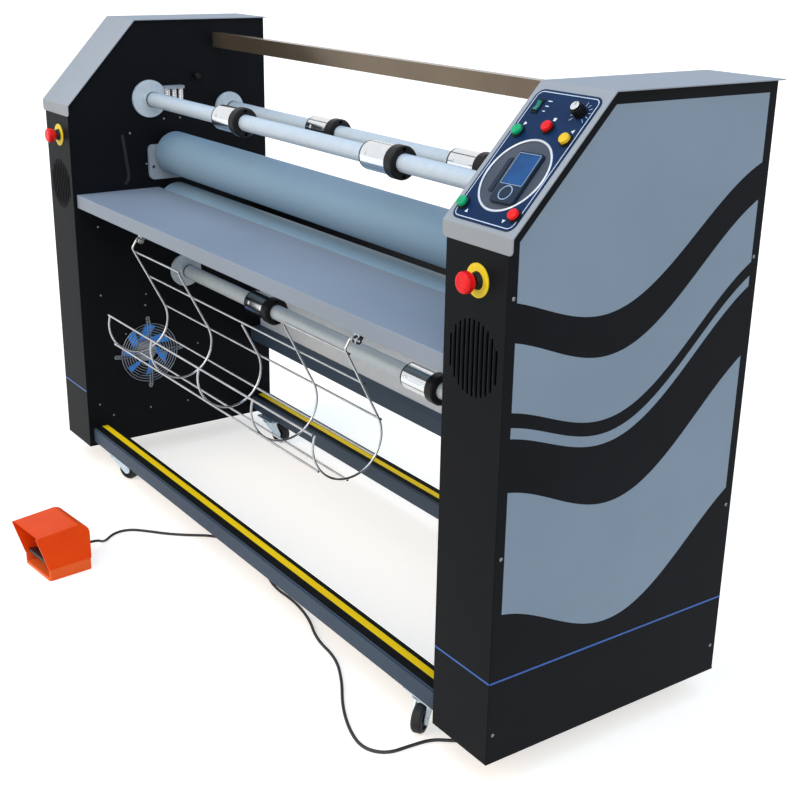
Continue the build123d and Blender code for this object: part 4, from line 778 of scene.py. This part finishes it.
# %% Dial marks, symbols and knob cap
KNOB, KNOB_GAP, KNOB_HEIGHT, KNOB_CAP_T = (0.051, 0.245), 0.0005, 0.017, 0.003
KNOB_TOP = OVERLAY_T + KNOB_GAP + KNOB_HEIGHT + KNOB_CAP_T
LONG_MARK, SHORT_MARK, MARK_WIDTH = (0.0190, 0.0080), (0.0180, 0.0060), 0.0008
SYMBOL_R = 0.0045
SYMBOLS = [  # place on the panel, turn in degrees, number of corners
    ((-0.057, 0.2085), -90, 3), ((0.004, 0.2255), 45, 4), ((0.061, 0.209), 90, 3),
    ((-0.049, 0.0245), 0, 3), ((0.047, 0.0245), 180, 3),
]
ROCKER_LINES = [(0.0100, 0.2585), (0.0080, 0.2480), (0.0060, 0.2375)]  # width, up the slope
ROCKER_LINES_X, LINE_WIDTH = -0.035, 0.0018
POINTER, POINTER_OUT, POINTER_LOW, POINTER_HIGH = (0.0070, 0.0010), 0.0042, 0.0006, 0.0010
white_ink = surface(
    "white_overlay_ink", (0.72, 0.74, 0.77), (0.82, 0.84, 0.86), (0.36, 0.44),
    patch=30.0, relief=0.00001)


def bar(length, width):
    """A small upright rectangle as an outline."""
    return np.array([(width, length), (-width, length), (-width, -length), (width, -length)]) / 2


def ink_mark(outline, centre, turn=0.0):
    """A patch of ink on the overlay."""
    return printed_patch(outline, centre, OVERLAY_T, OVERLAY_T + INK, turn)


marks = []
for k, angle in enumerate(np.radians(np.linspace(-135, 135, 11))):
    reach, length = SHORT_MARK if k % 5 else LONG_MARK
    middle = (KNOB[0] + reach * math.sin(angle), KNOB[1] + reach * math.cos(angle))
    marks.append(ink_mark(bar(length, MARK_WIDTH), middle, -angle))
for place, turn, corners in SYMBOLS:
    symbol = SYMBOL_R * unit_circle(corners, math.pi / 2)
    marks.append(ink_mark(symbol, place, math.radians(turn)))
for width, s in ROCKER_LINES:
    marks.append(ink_mark(bar(LINE_WIDTH, width), (ROCKER_LINES_X, s)))
add_piece("overlay_marks", together(marks), white_ink)
knob_silver = surface(
    "knob_cap_silver", (0.62, 0.66, 0.70), (0.76, 0.79, 0.82), (0.18, 0.26),
    patch=60.0, grain=1800.0, metal=0.8)
cap_profile = [(0.0, 0.0), (0.0, 0.0082), (0.0006, 0.0084), (0.0010, 0.0080), (0.0010, 0.0)]
knob_cap = turned(cap_profile, on_panel(*KNOB, KNOB_TOP - INK), PANEL_OUT, 48)
add_piece("knob_cap", knob_cap, knob_silver, body="speed_knob")
pointer = printed_patch(bar(*POINTER), (KNOB[0], KNOB[1] + POINTER_OUT), KNOB_TOP + POINTER_LOW,
                        KNOB_TOP + POINTER_HIGH)
add_piece("knob_pointer", pointer, switch_black, body="speed_knob")
print("dial marks and symbols", len(marks))

# %% [markdown]
# Each push button sits in a black collar with a ribbed foot, which gives fingers a grip when it
# is screwed on. The ribs are a fluted ring between two outlines, set round the solid collar.

# %% Ribs round the button collars
BUTTONS = [(-0.058, 0.190), (0.004, 0.2065), (0.061, 0.190), (-0.0665, 0.0365), (0.066, 0.037)]
COLLAR_R, COLLAR_HOLE_R, RIB_DEPTH, RIBS_ROUND = 0.0121, 0.0116, 0.00045, 24
RIB_LOW, RIB_HIGH = OVERLAY_T + 0.0003, OVERLAY_T + 0.0018
t = np.arange(144) * 2 * math.pi / 144
fluted = (COLLAR_R + RIB_DEPTH * np.sign(np.sin(RIBS_ROUND * t)))[:, None] * unit_circle(144)
hole = COLLAR_HOLE_R * unit_circle(144)
ribs = [printed_loop(hole, fluted, button, RIB_LOW, RIB_HIGH) for button in BUTTONS]
add_piece("button_collar_ribs", together(ribs), switch_black)
print("ribbed collars", len(ribs))

# %% [markdown]
# The cooling grilles are pressed louvres: the sheet between two slots is raised in a low arch.
# Each arch is a half-round section carried up the chord that its slot's circle leaves.

# %% Pressed louvres in the round grilles
GRILLE_Z, GRILLE_R, SLOT_PITCH = base_z + 0.768, 0.069, 0.0124
ARCH_HALF, ARCH_RISE, ARCH_ROOT, ARCH_END = 0.0033, 0.0013, 0.0002, 0.006
arch = np.linspace(0, math.pi, 7)
louvres = []
for side, _ in SIDES:
    for k in range(-5, 5):
        x0 = (k + 0.5) * SLOT_PITCH
        half = math.sqrt(GRILLE_R**2 - x0**2) - ARCH_END
        z = np.linspace(-half, half, 25)
        swell = np.sqrt(np.clip(1 - (z / half) ** 4, 0, 1))
        rings = np.empty((len(z), len(arch), 3))
        rings[:, :, 0] = side * PANEL_X + x0 + ARCH_HALF * np.cos(arch)
        rings[:, :, 1] = front_y - ARCH_RISE * np.sin(arch) * swell[:, None] + ARCH_ROOT
        rings[:, :, 2] = GRILLE_Z + z[:, None]
        louvres.append(skin(rings))
add_piece("grille_louvres", together(louvres), black_coat)
print("louvres", len(louvres))

# %% [markdown]
# Small screws hold the panels. A pan-head screw is a low dome with a cross cut in it; at this
# size a dome with a small sunk pit shows the same glint. Each is turned about the way it points.

# %% Screws on the cabinets
screw_steel = surface(
    "screw_zinc", (0.14, 0.15, 0.17), (0.26, 0.28, 0.31), (0.28, 0.38),
    patch=200.0, metal=0.9)


def screw(centre, out, radius):
    """A dome h = 0.45 r cos(a) with a round pit at its middle, standing on a wall."""
    a = np.linspace(0, 1, 7)[:1:-1]
    dome = np.stack([0.45 * np.cos(a * math.pi / 2), a], 1)
    pit = [(0.44, 0.30), (0.10, 0.24), (0.10, 0.0)]
    profile = radius * np.concatenate([[(0.0, 0.0)], dome, pit])
    return turned(profile, centre, out, 16)


def wall_point(side, y, z, wall_x=inner_x):
    """A place on a cabinet's wall, from depth and height on the cabinet in mm."""
    return (side * wall_x, front_y + y / 1000, base_z + z / 1000)


WALL_SCREW_R, PANEL_SCREW_R = 0.0030, 0.0038
WALL_SCREWS = [(178, 905), (224, 816), (201, 438), (283, 939), (333, 939), (67, 652), (62, 453),
               (197, 405), (29, 710), (132, 327), (362, 261), (321, 84), (198, 86), (38, 125),
               (79, 84)]
PANEL_SCREWS = [(14, 889), (14, 420), (595, 887), (595, 381), (14, 60), (595, 60)]
screws = []
for side, _ in SIDES:
    screws += [screw(wall_point(side, *place), (-side, 0, 0), WALL_SCREW_R)
               for place in WALL_SCREWS]
    screws += [screw(wall_point(side, *place, outer_x), (side, 0, 0), PANEL_SCREW_R)
               for place in PANEL_SCREWS]
add_piece("cabinet_screws", together(screws), screw_steel)
print("screws", len(screws))

# %% [markdown]
# The walls that face the work carry a curved guide slot, a small black stop knob and a bright
# web-brake unit with a flat plate on it. The slot is painted shade: a dark strip along a bent path,
# a hair proud of the paint; the brake's three springs are ribbed turned forms.

# %% Fittings on the inner walls
# The guide slot's dark strip is painted shade.
slot_painted_shade = surface(
    "guide_slot_shadow", (0.0025, 0.0025, 0.003), (0.004, 0.004, 0.005), (0.60, 0.70),
    patch=50.0, grain=900.0)


def wall_strip(side, path, width, proud):
    """A strip of the given width along a (depth, height) path on an inner wall."""
    path = np.asarray(path, float) / 1000
    along = np.gradient(path, axis=0)
    along /= np.linalg.norm(along, axis=1)[:, None]
    aside = np.stack([-along[:, 1], along[:, 0]], 1) * width / 2
    rings = np.empty((len(path), 4, 3))
    for k, (edge, x) in enumerate(((-1, 0), (-1, proud), (1, proud), (1, 0))):
        rings[:, k, 0] = side * (inner_x - x)
        rings[:, k, 1] = front_y + path[:, 0] + edge * aside[:, 0]
        rings[:, k, 2] = base_z + path[:, 1] + edge * aside[:, 1]
    return skin(rings)


SLOT_KNOTS = np.array([(154, 902), (160, 860), (164, 818), (168, 790), (165, 775), (155, 765)])
knot = np.linspace(0, 1, len(SLOT_KNOTS))
s = np.linspace(0, 1, 41)
slot_path = np.stack([np.interp(s, knot, row) for row in SLOT_KNOTS.T], 1)
SMOOTHINGS, SLOT_WIDTH, SLOT_PROUD = 6, 0.009, 0.0003
for _ in range(SMOOTHINGS):
    slot_path[1:-1] = (slot_path[:-2] + slot_path[1:-1] + slot_path[2:]) / 3
slots = [wall_strip(side, slot_path, SLOT_WIDTH, SLOT_PROUD) for side, _ in SIDES]
add_piece("guide_slots", together(slots), slot_painted_shade)
STOP_KNOB_PLACE, PLATE_PLACE = (383, 1055), (311, 1023)
SPRING_PLACES = [(291, 989), (311, 989), (331, 989)]
STOP_KNOB = [(0, 0), (0, 0.0075), (0.010, 0.0070), (0.012, 0.0085), (0.022, 0.0080),
             (0.0235, 0.006), (0.0235, 0)]
SPRING_LENGTH, SPRING_R, SPRING_RIB, SPRING_COILS, SPRING_OFF = 0.034, 0.0086, 0.0005, 8, 0.012
PLATE, PLATE_T, PLATE_OFF = (0.058, 0.024, 0.003), 0.008, 0.0125
w = np.linspace(0, 1, 33)
spring_r = SPRING_R + SPRING_RIB * np.sin(w * SPRING_COILS * 2 * math.pi)
spring = np.concatenate([[(0, 0)], np.stack([SPRING_LENGTH * w, spring_r], 1),
                         [(SPRING_LENGTH, 0)]])
flat = round_rectangle(*PLATE, 5)
stops, springs, plates = [], [], []
for side, _ in SIDES:
    stops.append(turned(STOP_KNOB, wall_point(side, *STOP_KNOB_PLACE), (-side, 0, 0), 24))
    for place in SPRING_PLACES:
        x, y, z = wall_point(side, *place)
        springs.append(turned(spring, (x - side * SPRING_OFF, y, z), (0, 0, 1), 20))
    x, y, z = wall_point(side, *PLATE_PLACE)
    rings = np.empty((2, len(flat), 3))
    rings[:, :, 0] = x - side * (PLATE_OFF + flat[:, 1])
    rings[:, :, 1] = y + flat[:, 0]
    rings[:, :, 2] = z + np.array([[0.0], [PLATE_T]])
    plates.append(skin(rings))
add_piece("web_stop_knobs", together(stops), switch_black)
add_piece("brake_springs", together(springs), chrome, smooth=70.0)
add_piece("brake_plates", together(plates), block_paint)
print("wall fittings", len(stops) + len(springs) + len(plates))

# %% [markdown]
# Each floor rail has a ribbed black tread with a yellow strip let into its groove. The treads'
# ribs run along the rail, so their section is a comb carried from one cabinet to the other.

# %% Tread ribs and yellow strips
tread_rubber = surface(
    "rail_tread_rubber", (0.004, 0.0045, 0.0055), (0.008, 0.009, 0.010), (0.52, 0.64),
    patch=20.0, grain=900.0, relief=0.00005, shine=0.05)
yellow_strip = surface(
    "rail_yellow_strip", (0.900, 0.580, 0.003), (0.985, 0.665, 0.006), (0.40, 0.52),
    patch=15.0, grain=900.0, relief=0.00006, stretch=(0.2, 1, 1), shine=0.1)
RAIL_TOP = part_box("floor_rails")[1].z
RAIL_DEPTHS = ((0.018, 0.040, 0.058, 0.070), (0.549, 0.566, 0.584, 0.601))
RAIL_END_GAP, CROWN_LIFT = 0.0003, 0.0001
TREAD, STRIP = (0.00272, 0.00045, 0.001), (0.0022, 0.00025, 0.0016)  # pitch, rib, foot
TREAD_EDGE, GROOVE_EDGE, STRIP_EDGE = 0.0002, 0.0004, 0.0001


def along_rail(section):
    """A (depth, height above the rail) section carried from cabinet to cabinet."""
    rings = np.empty((2, len(section), 3))
    rings[:, :, 0] = np.array([[-1.0], [1.0]]) * (inner_x - RAIL_END_GAP)
    rings[:, :, 1] = front_y + section[:, 0]
    rings[:, :, 2] = RAIL_TOP + section[:, 1]
    return skin(rings)


def ribbed(low, high, pitch, rib, foot):
    """Height = rib where sin(2 pi v / pitch) > 0, on a flat strip from low to high."""
    v = np.linspace(low, high, round((high - low) / pitch * 8) + 1)
    crown = CROWN_LIFT + rib * (np.sin((v - low) / pitch * 2 * math.pi) > 0)
    return np.concatenate([np.stack([v, crown], 1), [(high, -foot), (low, -foot)]])


treads, strips = [], []
for tread_front, groove_front, groove_rear, tread_rear in RAIL_DEPTHS:
    for low, high in ((tread_front + TREAD_EDGE, groove_front - GROOVE_EDGE),
                      (groove_rear + GROOVE_EDGE, tread_rear - TREAD_EDGE)):
        treads.append(along_rail(ribbed(low, high, *TREAD)))
    low, high = groove_front + STRIP_EDGE, groove_rear - STRIP_EDGE
    strips.append(along_rail(ribbed(low, high, *STRIP)))
add_piece("rail_treads", together(treads), tread_rubber)
add_piece("rail_strips", together(strips), yellow_strip)
print("rail strips", len(strips))

# %% [markdown]
# The stage is a wide pale floor. Its own colour is warm enough to cancel the cool light of the
# room. To the camera, and to metal and glass, it also glows a little, so that it turns white
# where no shadow lies, and no horizon shows.

# %% Floor
FLOOR_HALF, FLOOR_DROP, FLOOR_GLOW = 60.0, 0.0004, 0.58
FLOOR_COLOUR, WHITE = (0.80, 0.66, 0.52, 1), (1, 1, 1, 1)


def stage_material():
    """Lit colour + FLOOR_GLOW for camera and glossy rays; lit colour alone for other rays."""
    material = bpy.data.materials.new("pale_floor")
    material.use_nodes = True
    tree = material.node_tree
    tree.nodes.clear()
    ray = add_node(tree, "LightPath").outputs
    seen = compute(tree, "MAXIMUM", ray["Is Camera Ray"], ray["Is Glossy Ray"])
    diffuse = add_node(tree, "BsdfDiffuse", Color=FLOOR_COLOUR)
    glow = add_node(tree, "Emission", Color=WHITE,
                    Strength=compute(tree, "MULTIPLY", seen, FLOOR_GLOW))
    both = add_node(tree, "AddShader", diffuse.outputs[0], glow.outputs[0])
    add_node(tree, "OutputMaterial", Surface=both.outputs[0])
    return material


floor_mesh = bpy.data.meshes.new("floor")
corners = FLOOR_HALF * np.array([(-1, -1), (1, -1), (1, 1), (-1, 1)])
floor_mesh.from_pydata(np.c_[corners, np.full(4, -FLOOR_DROP)].tolist(), [], [(0, 1, 2, 3)])
floor_mesh.materials.append(stage_material())
floor = bpy.data.objects.new("floor", floor_mesh)
bpy.context.scene.collection.objects.link(floor)
print("floor", 2 * FLOOR_HALF, "m wide")

# %% [markdown]
# The room lights the machine from all round with a cool fill. What the camera sees of it, and
# what metal and glass mirror, is plain white, as in a studio.

# %% World
FILL_COLOUR, FILL_STRENGTH = (0.44, 0.67, 1.0, 1), 0.74
world = bpy.data.worlds.new("pale_room")
bpy.context.scene.world = world
world.use_nodes = True
sky = world.node_tree
sky.nodes.clear()
ray = add_node(sky, "LightPath").outputs
seen = compute(sky, "MAXIMUM", ray["Is Camera Ray"], ray["Is Glossy Ray"])
seen = compute(sky, "MAXIMUM", seen, ray["Is Transmission Ray"])
fill = add_node(sky, "Background", Color=FILL_COLOUR, Strength=FILL_STRENGTH)
white = add_node(sky, "Background", Color=WHITE, Strength=1.0)
room = add_node(sky, "MixShader", seen, fill.outputs[0], white.outputs[0])
add_node(sky, "OutputWorld", Surface=room.outputs[0])
print("fill light", FILL_STRENGTH)

# %% [markdown]
# In the photograph the tops look bluish and the fronts neutral. So a cool light falls from above,
# and two warmer ones come from in front and from the right. They are suns, which light near and
# far alike, and broad ones, so that their shadows are soft.

# %% Suns
SUNS = [  # name, turn, height and softness in degrees, strength, colour
    ("front_light", -14.0, 26.0, 40.0, 1.62, (1.0, 0.84, 0.60)),
    ("right_light", 68.0, 34.0, 50.0, 1.08, (1.0, 0.93, 0.85)),
    ("top_light", 20.0, 78.0, 60.0, 1.00, (0.28, 0.60, 1.0)),
]


def sun(name, turn, height, softness, strength, colour):
    """Light from direction (sin t cos h, -cos t cos h, sin h), spread over softness degrees."""
    from mathutils import Vector

    t, h = math.radians(turn), math.radians(height)
    source = Vector((math.sin(t) * math.cos(h), -math.cos(t) * math.cos(h), math.sin(h)))
    light = bpy.data.lights.new(name, "SUN")
    light.angle = math.radians(softness)
    light.energy = strength
    light.color = colour
    held = bpy.data.objects.new(name, light)
    held.rotation_mode = "QUATERNION"
    held.rotation_quaternion = (-source).to_track_quat("-Z", "Y")
    bpy.context.scene.collection.objects.link(held)


for values in SUNS:
    sun(*values)
bpy.context.scene.view_settings.view_transform = "Standard"
print("suns", len(SUNS))

# %% [markdown]
# Last, the view layer is brought up to date.

# %% Finish
bpy.context.view_layer.update()
